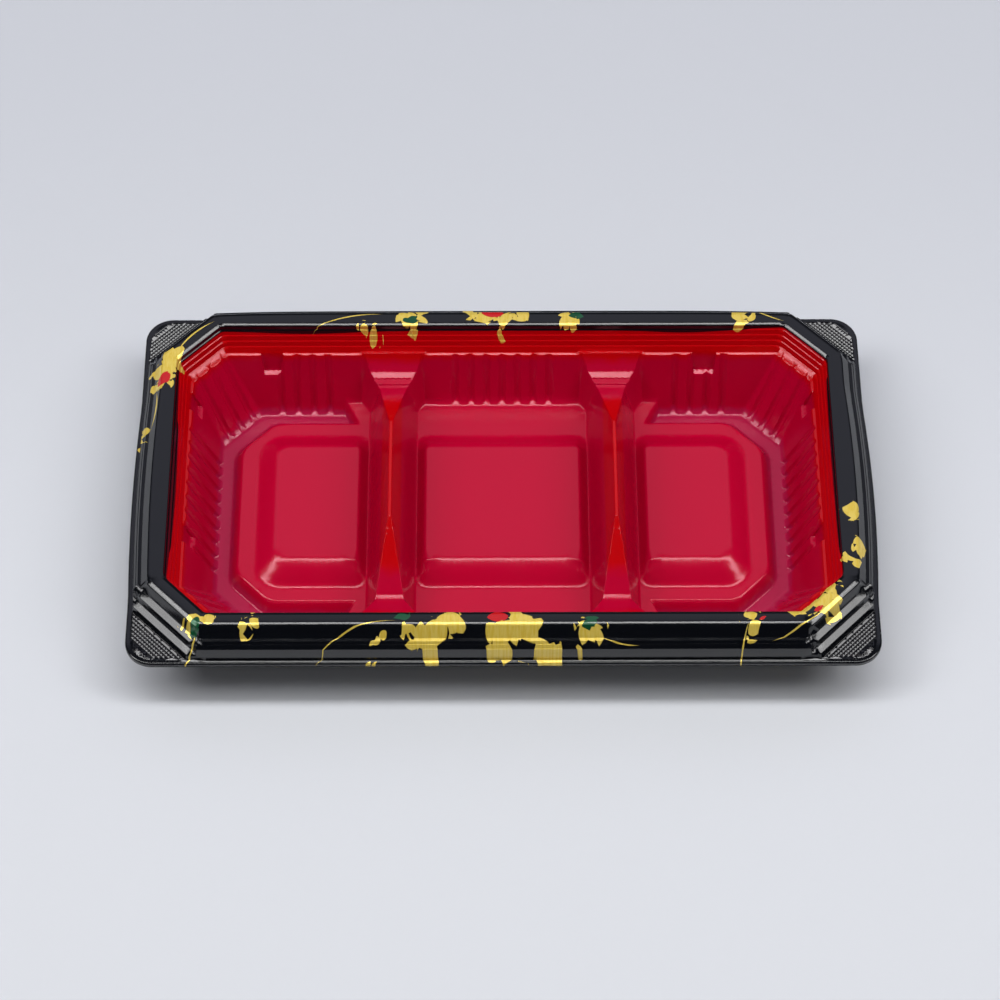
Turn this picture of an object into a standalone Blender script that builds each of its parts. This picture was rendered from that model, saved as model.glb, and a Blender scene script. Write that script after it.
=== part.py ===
"""A formed lunch tray with three compartments: a black sheet and the red film that lines it.

The tray's upper face is drawn in plan as feature lines with a height at each point, and
filled with triangles between them. Each solid is a slice of the shell under that face.
Lengths are in millimetres, and depths are measured down from the rim's land.
"""

import math

import bpy
import numpy as np
from mathutils import Vector
from mathutils.geometry import delaunay_2d_cdt

MM = 0.001

# Outline and depths
LENGTH = 230.0
WIDTH = 130.0
CHANNEL_DEPTH = 30.4
BAND_DEPTH = 26.2
FIELD_DEPTH = 22.0

# Sheet and film
FILM = 0.2
LAMINATE_GAP = 0.3
SHEET = 0.7

# Rim, from the opening's edge outwards
END_RIM = 11.5
SIDE_RIM = 11.1
OPENING_CHAMFER = 13.3
OPENING_RADIUS = 2.6
OPENING_EDGE = 0.35
LAND = 4.3
LAND_FILLET = 0.6
FLANGE_DEPTH = 11.5
FLANGE_RADIUS = 8.5
FLANGE_LIP = 0.5
SKIRT_FOOT = 8.8
SMALL_RISERS = 3
RISER_LEAN = 0.5
SKIRT_TREAD = 0.5
TREAD_FALL = 0.2
CORNER_TREAD = 0.45

# Raised arc in each corner tab of the flange
TAB_ARC_INSET = 1.0
TAB_ARC_WIDTH = 1.4
TAB_ARC_HEIGHT = 0.6

# Ribbed upper wall and its ledge, from the opening's edge inwards
LEDGE_RUN = 4.0
LEDGE_DEPTH = 9.3
LEDGE = 0.9
LEDGE_FALL = 0.3
RIBS = 5
RIB_TREAD = 0.35
RIB_FALL = 0.1
COLOUR_LINE_DEPTH = 2.5

# Fluted lower wall
WALL_RUN = 8.3
CENTRE_WALL_RUN = 7.2
FOOT_CHAMFER = 11.9
FOOT_RADIUS = 4.0
FLUTE = 2.5
FLUTE_BED = 0.8
FLUTE_TOP_CUT = 0.7
FLUTE_FOOT_CUT = 1.2
END_FLUTES = 9
END_PITCH = 5.07
SIDE_FLUTES = 4
SIDE_PITCH = 5.15
SIDE_FLUTES_X = 63.5
CENTRE_FLUTES = 7
CENTRE_PITCH = 5.0
CORNER_FLUTES = 3
CORNER_PITCH = 5.07

# Stacking notches cut through the ledge
NOTCH = 6.8
NOTCH_TAPER = 0.3
NOTCH_BACK_TAPER = 1.2
NOTCH_DEPTH = 16.0
NOTCH_SHELF = 1.5
SHELF_FALL = 0.2
LEFT_NOTCH_STATION = 2.5
RIGHT_NOTCH_STATION = 0.5
FAR_NOTCH_STATION = 6.0
NEAR_NOTCH_STATION = -4.0

# Floors of the compartments
CHANNEL = 4.4
PANEL_RUN = 2.4
FRAME = 5.7
FIELD_RUN = 5.9
FIELD_SIDE_RUN = 2.9
FIELD_RADIUS = 8.5
FIELD_SIDE_RADIUS = 4.0
FIELD_TOP_RADIUS = 4.5
FIELD_SIDE_TOP_RADIUS = 1.8
CHANNEL_END_X = 46.2
CHANNEL_END_RUN = 2.8
CHANNEL_END_SLANT = 0.5

# Dividers
DIVIDER_X = 35.0
RIDGE_DEPTH = 2.0
RIDGE = 1.0
RIDGE_LENGTH = 35.6
DIVIDER_LEAN = 0.294
VALLEY_Y = 39.9
VALLEY_DEPTH = 15.1
FAN = 18.2
FAN_FOOT_Y = 34.0
FAN_FOOT_RADIUS = 6.0
FAN_STEPS = 2
FAN_STEP_RISE = 0.6

# Sizes that follow
OPENING_X = LENGTH / 2 - END_RIM
OPENING_Y = WIDTH / 2 - SIDE_RIM
SHELL = FILM + LAMINATE_GAP + SHEET
HEIGHT = CHANNEL_DEPTH + SHELL
EDGE_RUN = LEDGE_RUN + LEDGE
EDGE_DEPTH = LEDGE_DEPTH + LEDGE_FALL
FOOT_RUN = EDGE_RUN + WALL_RUN
PANEL_FOOT_RUN = FOOT_RUN + CHANNEL
PANEL_EDGE_RUN = PANEL_FOOT_RUN + PANEL_RUN
FIELD_FOOT_RUN = PANEL_EDGE_RUN + FRAME
BAND_RUN = EDGE_RUN + WALL_RUN * (BAND_DEPTH - EDGE_DEPTH) / (CHANNEL_DEPTH - EDGE_DEPTH)
DIVIDER_FOOT = RIDGE / 2 + DIVIDER_LEAN * (BAND_DEPTH - RIDGE_DEPTH)
DIVIDER_VALLEY = RIDGE / 2 + DIVIDER_LEAN * (VALLEY_DEPTH - RIDGE_DEPTH)
FAN_FOOT = FAN / 2 + DIVIDER_LEAN * (BAND_DEPTH - EDGE_DEPTH)
CORNER_STEPS = 2
EASING = 1.6
EASING_PASSES = 6
QUARTERS = ((1, 1), (-1, 1), (-1, -1), (1, -1))


class Drawing:
    """Feature lines in plan, with a height at each point, and the triangles between them."""

    def __init__(self):
        self.points = []
        self.index = {}
        self.edges = set()

    def vertex(self, point):
        key = (round(point[0], 3), round(point[1], 3))
        if key not in self.index:
            self.index[key] = len(self.points)
            self.points.append(tuple(float(value) for value in point))
        return self.index[key]

    def line(self, points):
        numbers = [self.vertex(point) for point in points]
        for a, b in zip(numbers, numbers[1:]):
            if a != b:
                self.edges.add((min(a, b), max(a, b)))
        return numbers

    def loop(self, points):
        return self.line(list(points) + [points[0]])

    def rungs(self, first, second):
        for pair in zip(first, second):
            self.line(pair)

    def crossing_height(self, spot):
        """The height where two lines cross, read along the line that passes nearest."""
        ends = np.array([[self.points[a], self.points[b]] for a, b in sorted(self.edges)])
        start, along = ends[:, 0], ends[:, 1] - ends[:, 0]
        run = along[:, :2]
        share = ((spot - start[:, :2]) * run).sum(1) / (run**2).sum(1)
        nearest = start + along * np.clip(share, 0, 1)[:, None]
        return float(nearest[np.hypot(*(nearest[:, :2] - spot).T).argmin(), 2])

    def filled(self):
        """Points, upward triangles, and the filled number of each drawn point."""
        flat = [Vector(point[:2]) for point in self.points]
        inside_only, epsilon = 1, 1e-4
        spots, _, faces, origins, _, _ = delaunay_2d_cdt(
            flat, sorted(self.edges), [], inside_only, epsilon
        )
        numbers = {}
        points = []
        for spot, origin in zip(spots, origins):
            for k in origin:
                numbers[k] = len(points)
            drawn = self.points[origin[0]] if origin else None
            points.append(drawn or (*spot, self.crossing_height(np.array(spot))))
        points, faces = np.array(points), np.array(faces)
        a, b, c = (points[faces[:, k], :2] for k in range(3))
        area = (b - a)[:, 0] * (c - a)[:, 1] - (b - a)[:, 1] * (c - a)[:, 0]
        faces[area < 0] = faces[area < 0][:, ::-1]
        return points, faces, numbers


def arc(before, corner, after, radius, steps):
    """Points of the round that replaces a corner, at the corner's height."""
    here = np.array(corner[:2], float)
    back = np.array(before[:2]) - here
    ahead = np.array(after[:2]) - here
    room = 0.48 * min(np.hypot(*back), np.hypot(*ahead))
    back, ahead = back / np.hypot(*back), ahead / np.hypot(*ahead)
    half = math.acos(float(np.dot(back, ahead))) / 2
    reach = min(radius / math.tan(half), room)
    radius = reach * math.tan(half)
    centre = here + (back + ahead) / np.hypot(*(back + ahead)) * radius / math.sin(half)
    x, y = here + back * reach - centre
    sweep = math.pi - 2 * half
    if back[0] * ahead[1] - back[1] * ahead[0] > 0:
        sweep = -sweep
    points = []
    for k in range(steps + 1):
        cos, sin = math.cos(sweep * k / steps), math.sin(sweep * k / steps)
        points.append((centre[0] + x * cos - y * sin, centre[1] + x * sin + y * cos, corner[2]))
    return points


def mirrored(points, quarter):
    return [(x * quarter[0], y * quarter[1], z) for x, y, z in points]


def chamfered(half_x, half_y, chamfer, radius, depth, end_x=0.0):
    """A quarter of a chamfered outline: from the end wall round to the long wall."""
    corners = [
        (half_x, 0.0, -depth),
        (half_x, half_y - chamfer, -depth),
        (half_x - chamfer, half_y, -depth),
        (end_x, half_y, -depth),
    ]
    return arc(*corners[:3], radius, CORNER_STEPS) + arc(*corners[1:], radius, CORNER_STEPS)


def ring(inset, depth, spread=0.0):
    """A quarter of an outline that runs parallel to the opening's edge."""
    chamfer = OPENING_CHAMFER - (2 - math.sqrt(2)) * inset - math.sqrt(2) * spread
    radius = max(OPENING_RADIUS - inset, 1.0)
    return chamfered(OPENING_X - inset, OPENING_Y - inset, chamfer, radius, depth)


def flange_ring(inset, depth):
    """A quarter of the flange's rounded rectangle, with as many points as a ring."""
    x, y = LENGTH / 2 - inset, WIDTH / 2 - inset
    radius = FLANGE_RADIUS - inset
    return arc((x, 0, -depth), (x, y, -depth), (0, y, -depth), radius, 2 * CORNER_STEPS + 1)


def draw_around(drawing, quarter_points):
    """The whole ring, from its points in one quarter. Returns their numbers."""
    points = []
    for sx, sy in QUARTERS:
        part = mirrored(quarter_points, (sx, sy))
        points += part if sx * sy > 0 else part[::-1]
    return drawing.loop(points)


def draw_nested(drawing, rings):
    """Rings one inside the other, with lines down the slope at their corners."""
    for points in rings:
        draw_around(drawing, points)
    for first, second in zip(rings, rings[1:]):
        for quarter in QUARTERS:
            drawing.rungs(mirrored(first, quarter), mirrored(second, quarter))


def skirt_profile():
    """Outset, depth and corner spread of each ring, from the land down to the flange."""
    depth = FLANGE_DEPTH / 2
    rise = (FLANGE_DEPTH - depth) / SMALL_RISERS
    outset = SKIRT_FOOT - SMALL_RISERS * (RISER_LEAN + SKIRT_TREAD)
    profile = [(LAND, 0.0, 0.0), (LAND + LAND_FILLET, LAND_FILLET, 0.0), (outset, depth, 0.0)]
    for k in range(1, SMALL_RISERS + 1):
        outset += SKIRT_TREAD
        profile.append((outset, depth + TREAD_FALL, CORNER_TREAD * k))
        outset += RISER_LEAN
        depth += rise
        profile.append((outset, depth, CORNER_TREAD * k))
    return profile


def rib_profile():
    """Inset and depth of each line, from the opening's edge to the ledge's inner edge."""
    run, fall = LEDGE_RUN / RIBS, LEDGE_DEPTH / RIBS
    profile = [(-OPENING_EDGE, 0.0), (OPENING_EDGE / 2, OPENING_EDGE)]
    for k in range(1, RIBS):
        profile.append((run * k - RIB_TREAD, fall * k - RIB_FALL))
        profile.append((run * k, fall * k))
    profile.append((LEDGE_RUN, LEDGE_DEPTH))
    profile.append((EDGE_RUN, EDGE_DEPTH))
    return profile


def rib_inset(depth):
    """How far in the ribbed wall stands at a depth."""
    insets, depths = zip(*rib_profile())
    return float(np.interp(depth, depths, insets))


def draw_rim(drawing):
    """Flange, skirt, land and ribbed wall, down to the ledge's inner edge."""
    lip = [flange_ring(0.0, FLANGE_DEPTH + FLANGE_LIP), flange_ring(FLANGE_LIP, FLANGE_DEPTH)]
    skirt = [ring(-outset, depth, spread) for outset, depth, spread in skirt_profile()]
    ribs = [ring(inset, depth) for inset, depth in rib_profile()]
    draw_nested(drawing, lip)
    draw_nested(drawing, skirt[::-1] + ribs[:-1])
    for quarter in QUARTERS:
        corners = mirrored(ribs[-1], quarter)
        drawing.line(corners[: CORNER_STEPS + 1])
        drawing.line(corners[CORNER_STEPS + 1 :])
        drawing.rungs(mirrored(ribs[-2], quarter), corners)
        draw_tab_arc(drawing, quarter)
    return ribs[-1]


def draw_tab_arc(drawing, quarter):
    """The raised arc in one corner tab."""
    outer = mirrored(flange_ring(TAB_ARC_INSET, FLANGE_DEPTH), quarter)
    inner = mirrored(flange_ring(TAB_ARC_INSET + TAB_ARC_WIDTH, FLANGE_DEPTH), quarter)
    middle = flange_ring(TAB_ARC_INSET + TAB_ARC_WIDTH / 2, FLANGE_DEPTH - TAB_ARC_HEIGHT)
    crest = mirrored(middle[1:-1], quarter)
    drawing.loop(outer + inner[::-1])
    drawing.line([outer[0]] + crest + [outer[-1]])
    drawing.rungs(outer[1:-1], crest)
    drawing.rungs(inner[1:-1], crest)


def draw_colour_line(drawing):
    """Two rings on the ribbed wall: the sheet's step, and the film's edge inside it."""
    rings = []
    for depth in (COLOUR_LINE_DEPTH, COLOUR_LINE_DEPTH + LAMINATE_GAP):
        rings.append(draw_around(drawing, ring(rib_inset(depth), depth)))
    return rings


class Wall:
    """A flat stretch of the fluted wall. Along it u runs anticlockwise round the tray."""

    def __init__(self, outward, top, foot, foot_depth):
        self.outward = np.array(outward, float)
        self.tangent = np.array((-self.outward[1], self.outward[0]))
        self.top, self.foot, self.foot_depth = top, foot, foot_depth
        self.shelf = (NOTCH_DEPTH - EDGE_DEPTH) / (foot_depth - EDGE_DEPTH)

    def along(self, point):
        return float(np.dot(np.array(point[:2]), self.tangent))

    def point(self, u, share, cut=0.0, lift=0.0):
        """A point a share of the way down the wall, set out by cut and up by lift."""
        reach = self.top + (self.foot - self.top) * share + cut
        x, y = self.tangent * u + self.outward * reach
        return (x, y, lift - EDGE_DEPTH - (self.foot_depth - EDGE_DEPTH) * share)

    def groove(self, u, share, cut, lift=0.0):
        """The four points across a flute."""
        return [
            self.point(u - FLUTE / 2, share),
            self.point(u - FLUTE_BED / 2, share, cut, lift),
            self.point(u + FLUTE_BED / 2, share, cut, lift),
            self.point(u + FLUTE / 2, share),
        ]

    def draw(self, drawing, flutes, notches, top_ends, foot_ends):
        edge = [[point] for point in top_ends]
        foot = [[point] for point in foot_ends]
        held = {u: [v for v in flutes if abs(u - v) < NOTCH / 2] for u in notches}
        for u in flutes:
            if any(u in group for group in held.values()):
                top = self.groove(u, self.shelf, FLUTE_TOP_CUT, SHELF_FALL / 2)
            else:
                top = self.groove(u, 0.0, FLUTE_TOP_CUT, FLUTE_TOP_CUT * LEDGE_FALL / LEDGE)
                edge.append(top)
            bottom = self.groove(u, 1.0, FLUTE_FOOT_CUT)
            drawing.line(top)
            drawing.rungs(top, bottom)
            foot.append(bottom)
        for u, group in held.items():
            edge.append(self.notch(drawing, u, group))
        for groups in (edge, foot):
            groups.sort(key=lambda group: self.along(group[0]))
            drawing.line([point for group in groups for point in group])

    def notch(self, drawing, u, flutes):
        """A recess with a shelf, cut through the ledge. Returns its part of the ledge's edge."""
        back = (self.foot - self.top) * self.shelf + NOTCH_SHELF
        lips, backs, fronts = [], [], []
        for side in (-0.5, 0.5):
            lip = self.point(u + side * NOTCH, 0.0)
            upper = self.point(u + side * NOTCH, 0.0, LEDGE, LEDGE_FALL)
            x, y, _ = self.point(u + side * (NOTCH - 2 * NOTCH_BACK_TAPER), 0.0, back)
            backs.append((x, y, SHELF_FALL - NOTCH_DEPTH))
            fronts.append(self.point(u + side * (NOTCH - 2 * NOTCH_TAPER), self.shelf))
            drawing.line([upper, backs[-1], fronts[-1], lip])
            lips.append((lip, upper))
        drawing.line(backs)
        edge = [[front] for front in fronts]
        edge += [self.groove(v, self.shelf, FLUTE_TOP_CUT, SHELF_FALL / 2) for v in flutes]
        edge.sort(key=lambda group: self.along(group[0]))
        drawing.line([point for group in edge for point in group])
        return [lips[0][0], lips[0][1], lips[1][1], lips[1][0]]


def spaced(count, pitch, middle=0.0):
    return [middle + pitch * (k - (count - 1) / 2) for k in range(count)]


def draw_walls(drawing, edge, foot, channel_end):
    """The fluted walls of all three compartments, from quarters of edge and foot."""
    turn = CORNER_STEPS
    edge_x, edge_y = OPENING_X - EDGE_RUN, OPENING_Y - EDGE_RUN
    stations = {-1: LEFT_NOTCH_STATION, 1: RIGHT_NOTCH_STATION}
    for sx in (-1, 1):
        end = Wall((sx, 0), edge_x, OPENING_X - FOOT_RUN, CHANNEL_DEPTH)
        notches = [sx * END_PITCH * k for k in (FAR_NOTCH_STATION, NEAR_NOTCH_STATION)]
        tops = [mirrored(edge, (sx, sy))[0] for sy in (-1, 1)]
        feet = [mirrored(foot, (sx, sy))[0] for sy in (-1, 1)]
        end.draw(drawing, spaced(END_FLUTES, END_PITCH), notches, tops, feet)
    for sx, sy in QUARTERS:
        tops, feet = mirrored(edge, (sx, sy)), mirrored(foot, (sx, sy))
        side = Wall((0, sy), edge_y, OPENING_Y - FOOT_RUN, CHANNEL_DEPTH)
        fan_corner = (sx * (DIVIDER_X + FAN / 2), sy * edge_y, -EDGE_DEPTH)
        inner_end = mirrored([channel_end], (sx, sy))[0]
        flutes = spaced(SIDE_FLUTES, SIDE_PITCH, -sx * sy * SIDE_FLUTES_X)
        notches = [-sx * sy * (SIDE_FLUTES_X + SIDE_PITCH * stations[sx])]
        side.draw(drawing, flutes, notches, [tops[-1], fan_corner], [feet[-1], inner_end])
        outward = np.array((sx, sy)) / math.sqrt(2)
        reaches = [float(np.dot(outward, points[turn][:2])) for points in (tops, feet)]
        corner = Wall(outward, *reaches, CHANNEL_DEPTH)
        middle = (corner.along(tops[turn]) + corner.along(tops[turn + 1])) / 2
        flutes = spaced(CORNER_FLUTES, CORNER_PITCH, middle)
        corner.draw(drawing, flutes, [], tops[turn : turn + 2], feet[turn : turn + 2])
        drawing.line(feet[: turn + 1])
        drawing.line(feet[turn + 1 :])
        drawing.rungs(tops, feet)
    for sy in (-1, 1):
        centre = Wall((0, sy), edge_y, edge_y - CENTRE_WALL_RUN, BAND_DEPTH)
        reach = DIVIDER_X - FAN / 2
        tops = [(side * reach, sy * edge_y, -EDGE_DEPTH) for side in (-1, 1)]
        reach = DIVIDER_X - FAN_FOOT
        feet = [(side * reach, sy * (edge_y - CENTRE_WALL_RUN), -BAND_DEPTH) for side in (-1, 1)]
        centre.draw(drawing, spaced(CENTRE_FLUTES, CENTRE_PITCH), [], tops, feet)


def fan_profile(sy):
    """Half width, y and depth along a divider's flared end, which is stepped at the far side."""
    end_y = OPENING_Y - EDGE_RUN
    profile = [(VALLEY_Y, VALLEY_DEPTH)]
    if sy > 0:
        run = (end_y - VALLEY_Y) / (2 * FAN_STEPS)
        y, depth = VALLEY_Y, VALLEY_DEPTH
        for _ in range(FAN_STEPS):
            profile.append((y + 0.6 * run, depth))
            y, depth = y + run, depth - FAN_STEP_RISE
            profile.append((y, depth))
    profile.append((end_y, EDGE_DEPTH))
    flare = (FAN / 2 - DIVIDER_VALLEY) / (end_y - VALLEY_Y)
    return [(DIVIDER_VALLEY + flare * (y - VALLEY_Y), y, depth) for y, depth in profile]


def draw_divider(drawing, x):
    """Ridge, ramps, flared ends and side walls of the divider at x."""
    ridge = RIDGE_LENGTH / 2
    for sy in (-1, 1):
        stations = [(RIDGE / 2, ridge, RIDGE_DEPTH)] + fan_profile(sy)
        for half, y, depth in stations:
            drawing.line([(x + side * half, sy * y, -depth) for side in (-1, 1)])
        for side in (-1, 1):
            centre_side = x * side < 0
            end_run = EDGE_RUN + CENTRE_WALL_RUN if centre_side else BAND_RUN
            edge = [(x + side * half, sy * y, -depth) for half, y, depth in stations]
            foot = [
                (x + side * DIVIDER_FOOT, sy * ridge, -BAND_DEPTH),
                (x + side * DIVIDER_FOOT, sy * FAN_FOOT_Y, -BAND_DEPTH),
                (x + side * FAN_FOOT, sy * (OPENING_Y - end_run), -BAND_DEPTH),
            ]
            bend = arc(*foot, FAN_FOOT_RADIUS, CORNER_STEPS)
            drawing.line(edge)
            drawing.line([foot[0]] + bend + [foot[2]])
            drawing.line([edge[0], foot[0]])
            drawing.line([edge[-1], foot[2]])
            for point in bend:
                drawing.line([edge[1], point])
    for side in (-1, 1):
        for half, depth in ((RIDGE / 2, RIDGE_DEPTH), (DIVIDER_FOOT, BAND_DEPTH)):
            drawing.line([(x + side * half, sy * ridge, -depth) for sy in (-1, 1)])


def draw_field(drawing, left, right, left_run, right_run, left_radii, right_radii):
    """A raised floor field, from its foot to its top."""
    half_y = OPENING_Y - FIELD_FOOT_RUN
    loops = []
    for k, depth in enumerate((BAND_DEPTH, FIELD_DEPTH)):
        x0, x1, y = left + left_run * k, right - right_run * k, half_y - FIELD_RUN * k
        corners = [(x1, -y, -depth), (x1, y, -depth), (x0, y, -depth), (x0, -y, -depth)]
        radii = (right_radii[k], right_radii[k], left_radii[k], left_radii[k])
        loop = []
        for j, radius in enumerate(radii):
            loop += arc(corners[j - 1], corners[j], corners[(j + 1) % 4], radius, 4)
        drawing.loop(loop)
        loops.append(loop)
    drawing.rungs(*loops)


def draw_side_floor(drawing, sx):
    """Channel and raised field of an end compartment. Returns the wall's foot and its end."""
    outlines = []
    for run, depth in (
        (FOOT_RUN, CHANNEL_DEPTH),
        (PANEL_FOOT_RUN, CHANNEL_DEPTH),
        (PANEL_EDGE_RUN, BAND_DEPTH),
    ):
        chamfer = FOOT_CHAMFER - (2 - math.sqrt(2)) * max(run - PANEL_FOOT_RUN, 0.0)
        half_x, half_y = OPENING_X - run, OPENING_Y - run
        outlines.append(chamfered(half_x, half_y, chamfer, FOOT_RADIUS, depth, CHANNEL_END_X))
    foot, panel_foot, panel_edge = outlines
    end_x = CHANNEL_END_X + CHANNEL_END_RUN
    edge_end = (CHANNEL_END_X, OPENING_Y - PANEL_EDGE_RUN, -BAND_DEPTH)
    panel_end = (end_x, OPENING_Y - PANEL_FOOT_RUN, -CHANNEL_DEPTH)
    foot_end = (end_x + CHANNEL_END_SLANT * CHANNEL, OPENING_Y - FOOT_RUN, -CHANNEL_DEPTH)
    slant = CHANNEL_END_SLANT * (PANEL_EDGE_RUN - BAND_RUN)
    top_end = (CHANNEL_END_X + slant, OPENING_Y - BAND_RUN, -BAND_DEPTH)
    fan_end = (DIVIDER_X + FAN_FOOT, OPENING_Y - BAND_RUN, -BAND_DEPTH)
    for sy in (-1, 1):
        quarter = (sx, sy)
        drawing.line(mirrored(panel_foot + [panel_end], quarter))
        drawing.line(mirrored(panel_edge + [edge_end], quarter))
        drawing.rungs(mirrored(panel_foot, quarter), mirrored(panel_edge, quarter))
        ends = [fan_end, top_end, foot_end, panel_end, edge_end, top_end]
        drawing.line(mirrored(ends, quarter))
    for points in (panel_foot, panel_edge):
        drawing.line([mirrored(points, (sx, sy))[0] for sy in (-1, 1)])
    inner, outer = DIVIDER_X + DIVIDER_FOOT, OPENING_X - FIELD_FOOT_RUN
    shapes = [
        (FIELD_SIDE_RUN, (FIELD_SIDE_RADIUS, FIELD_SIDE_TOP_RADIUS)),
        (FIELD_RUN, (FIELD_RADIUS, FIELD_TOP_RADIUS)),
    ]
    if sx > 0:
        draw_field(drawing, inner, outer, shapes[0][0], shapes[1][0], shapes[0][1], shapes[1][1])
    else:
        draw_field(drawing, -outer, -inner, shapes[1][0], shapes[0][0], shapes[1][1], shapes[0][1])
    return foot, foot_end


def draw_tray():
    """All feature lines of the tray's upper face, and the two rings at the colour line."""
    drawing = Drawing()
    edge = draw_rim(drawing)
    rings = draw_colour_line(drawing)
    for sx in (-1, 1):
        foot, foot_end = draw_side_floor(drawing, sx)
        draw_divider(drawing, sx * DIVIDER_X)
    draw_walls(drawing, edge, foot, foot_end)
    reach = DIVIDER_X - DIVIDER_FOOT
    radii = (FIELD_SIDE_RADIUS, FIELD_SIDE_TOP_RADIUS)
    draw_field(drawing, -reach, reach, FIELD_SIDE_RUN, FIELD_SIDE_RUN, radii, radii)
    return drawing, rings


def face_normals(points, faces):
    a, b, c = (points[faces[:, k]] for k in range(3))
    normals = np.cross(b - a, c - a)
    return normals / np.linalg.norm(normals, axis=1)[:, None]


def inward_vectors(points, faces):
    """For each point, the move that takes every face round it one unit into the shell."""
    normals = face_normals(points, faces)
    around = [[] for _ in points]
    for face, normal in zip(faces, normals):
        for k in face:
            if all(np.dot(normal, other) < 0.9995 for other in around[k]):
                around[k].append(normal)
    vectors = np.zeros_like(points)
    for k, group in enumerate(around):
        planes = np.array(group)
        vector = np.linalg.lstsq(planes, -np.ones(len(planes)), rcond=0.05)[0]
        vectors[k] = vector * min(1.0, 2.6 / np.linalg.norm(vector))
    return vectors


def eased(points, faces, vectors, depth):
    """The vectors averaged over steps that are small beside the depth of the move."""
    pairs = np.concatenate([faces[:, [0, 1]], faces[:, [1, 2]], faces[:, [2, 0]]])
    pairs = np.unique(np.sort(pairs, axis=1), axis=0)
    lengths = np.linalg.norm(points[pairs[:, 0]] - points[pairs[:, 1]], axis=1)
    weights = np.clip(1.0 - lengths / (EASING * depth), 0.0, None)
    total = np.ones(len(points))
    for side in (0, 1):
        np.add.at(total, pairs[:, side], weights)
    for _ in range(EASING_PASSES):
        summed = vectors.copy()
        for side in (0, 1):
            np.add.at(summed, pairs[:, side], vectors[pairs[:, 1 - side]] * weights[:, None])
        vectors = summed / total[:, None]
    return vectors


def layer(points, faces, vectors, depth):
    """The upper face moved into the shell, kept from folding over under the narrow ridges."""
    if not depth:
        return points
    moved = points + eased(points, faces, vectors, depth) * depth
    moved[:, 2] = np.maximum(moved[:, 2], -HEIGHT)
    lean = math.hypot(1.0, DIVIDER_LEAN)
    limit = 0.46 * RIDGE
    for k, (x, y, z) in enumerate(points):
        if abs(z + RIDGE_DEPTH) > 1e-6 or abs(y) > RIDGE_LENGTH / 2 + 1e-6:
            continue
        side = x - math.copysign(DIVIDER_X, x)
        if abs(abs(side) - RIDGE / 2) > 1e-3 or abs(moved[k, 0] - x) < limit:
            continue
        moved[k, 0] = x - math.copysign(limit, side)
        moved[k, 2] = z - (depth * lean - limit) / DIVIDER_LEAN
    return moved


def inside_ring(faces, ring_numbers, seed):
    """Which triangles lie inside a ring, spreading from those round the seed point."""
    ring_numbers = set(ring_numbers)
    sides = {}
    for number, face in enumerate(faces):
        for a, b in zip(face, np.roll(face, -1)):
            if not (a in ring_numbers and b in ring_numbers):
                sides.setdefault((min(a, b), max(a, b)), []).append(number)
    links = {}
    for pair in sides.values():
        for number in pair:
            links.setdefault(number, set()).update(pair)
    found = set(np.nonzero((faces == seed).any(axis=1))[0].tolist())
    waiting = list(found)
    while waiting:
        for number in links.get(waiting.pop(), ()):
            if number not in found:
                found.add(number)
                waiting.append(number)
    mask = np.zeros(len(faces), bool)
    mask[list(found)] = True
    return mask


def rim_edges(faces):
    """The open edges of a patch, in the direction of its faces."""
    directed = {(int(a), int(b)) for f in faces for a, b in zip(f, np.roll(f, -1))}
    return sorted(edge for edge in directed if edge[::-1] not in directed)


class Solid:
    """Faces gathered from several layers of the same drawing."""

    def __init__(self):
        self.points, self.faces, self.numbers = [], [], {}

    def vertex(self, layer_points, layer_name, k):
        key = (layer_name, int(k))
        if key not in self.numbers:
            self.numbers[key] = len(self.points)
            self.points.append(Vector(layer_points[k]) * MM)
        return self.numbers[key]

    def patch(self, layers, name, faces):
        for face in faces:
            self.faces.append([self.vertex(layers[name], name, k) for k in face])

    def band(self, layers, upper, lower, edges):
        for a, b in edges:
            top = [self.vertex(layers[upper], upper, k) for k in (b, a)]
            bottom = [self.vertex(layers[lower], lower, k) for k in (a, b)]
            self.faces.append(top + bottom)

    def to_object(self, name, material):
        mesh = bpy.data.meshes.new(name)
        mesh.from_pydata(self.points, [], self.faces)
        mesh.materials.append(material)
        mesh.shade_smooth()
        mesh.set_sharp_from_angle(angle=math.radians(28))
        made = bpy.data.objects.new(name, mesh)
        made.location.z = HEIGHT * MM
        bpy.context.scene.collection.objects.link(made)
        return made


def make_material(name, colour, roughness):
    material = bpy.data.materials.new(name)
    material.use_nodes = True
    shader = material.node_tree.nodes["Principled BSDF"]
    shader.inputs["Base Color"].default_value = (*colour, 1.0)
    shader.inputs["Roughness"].default_value = roughness
    shader.inputs["Metallic"].default_value = 0.0
    return material


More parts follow.
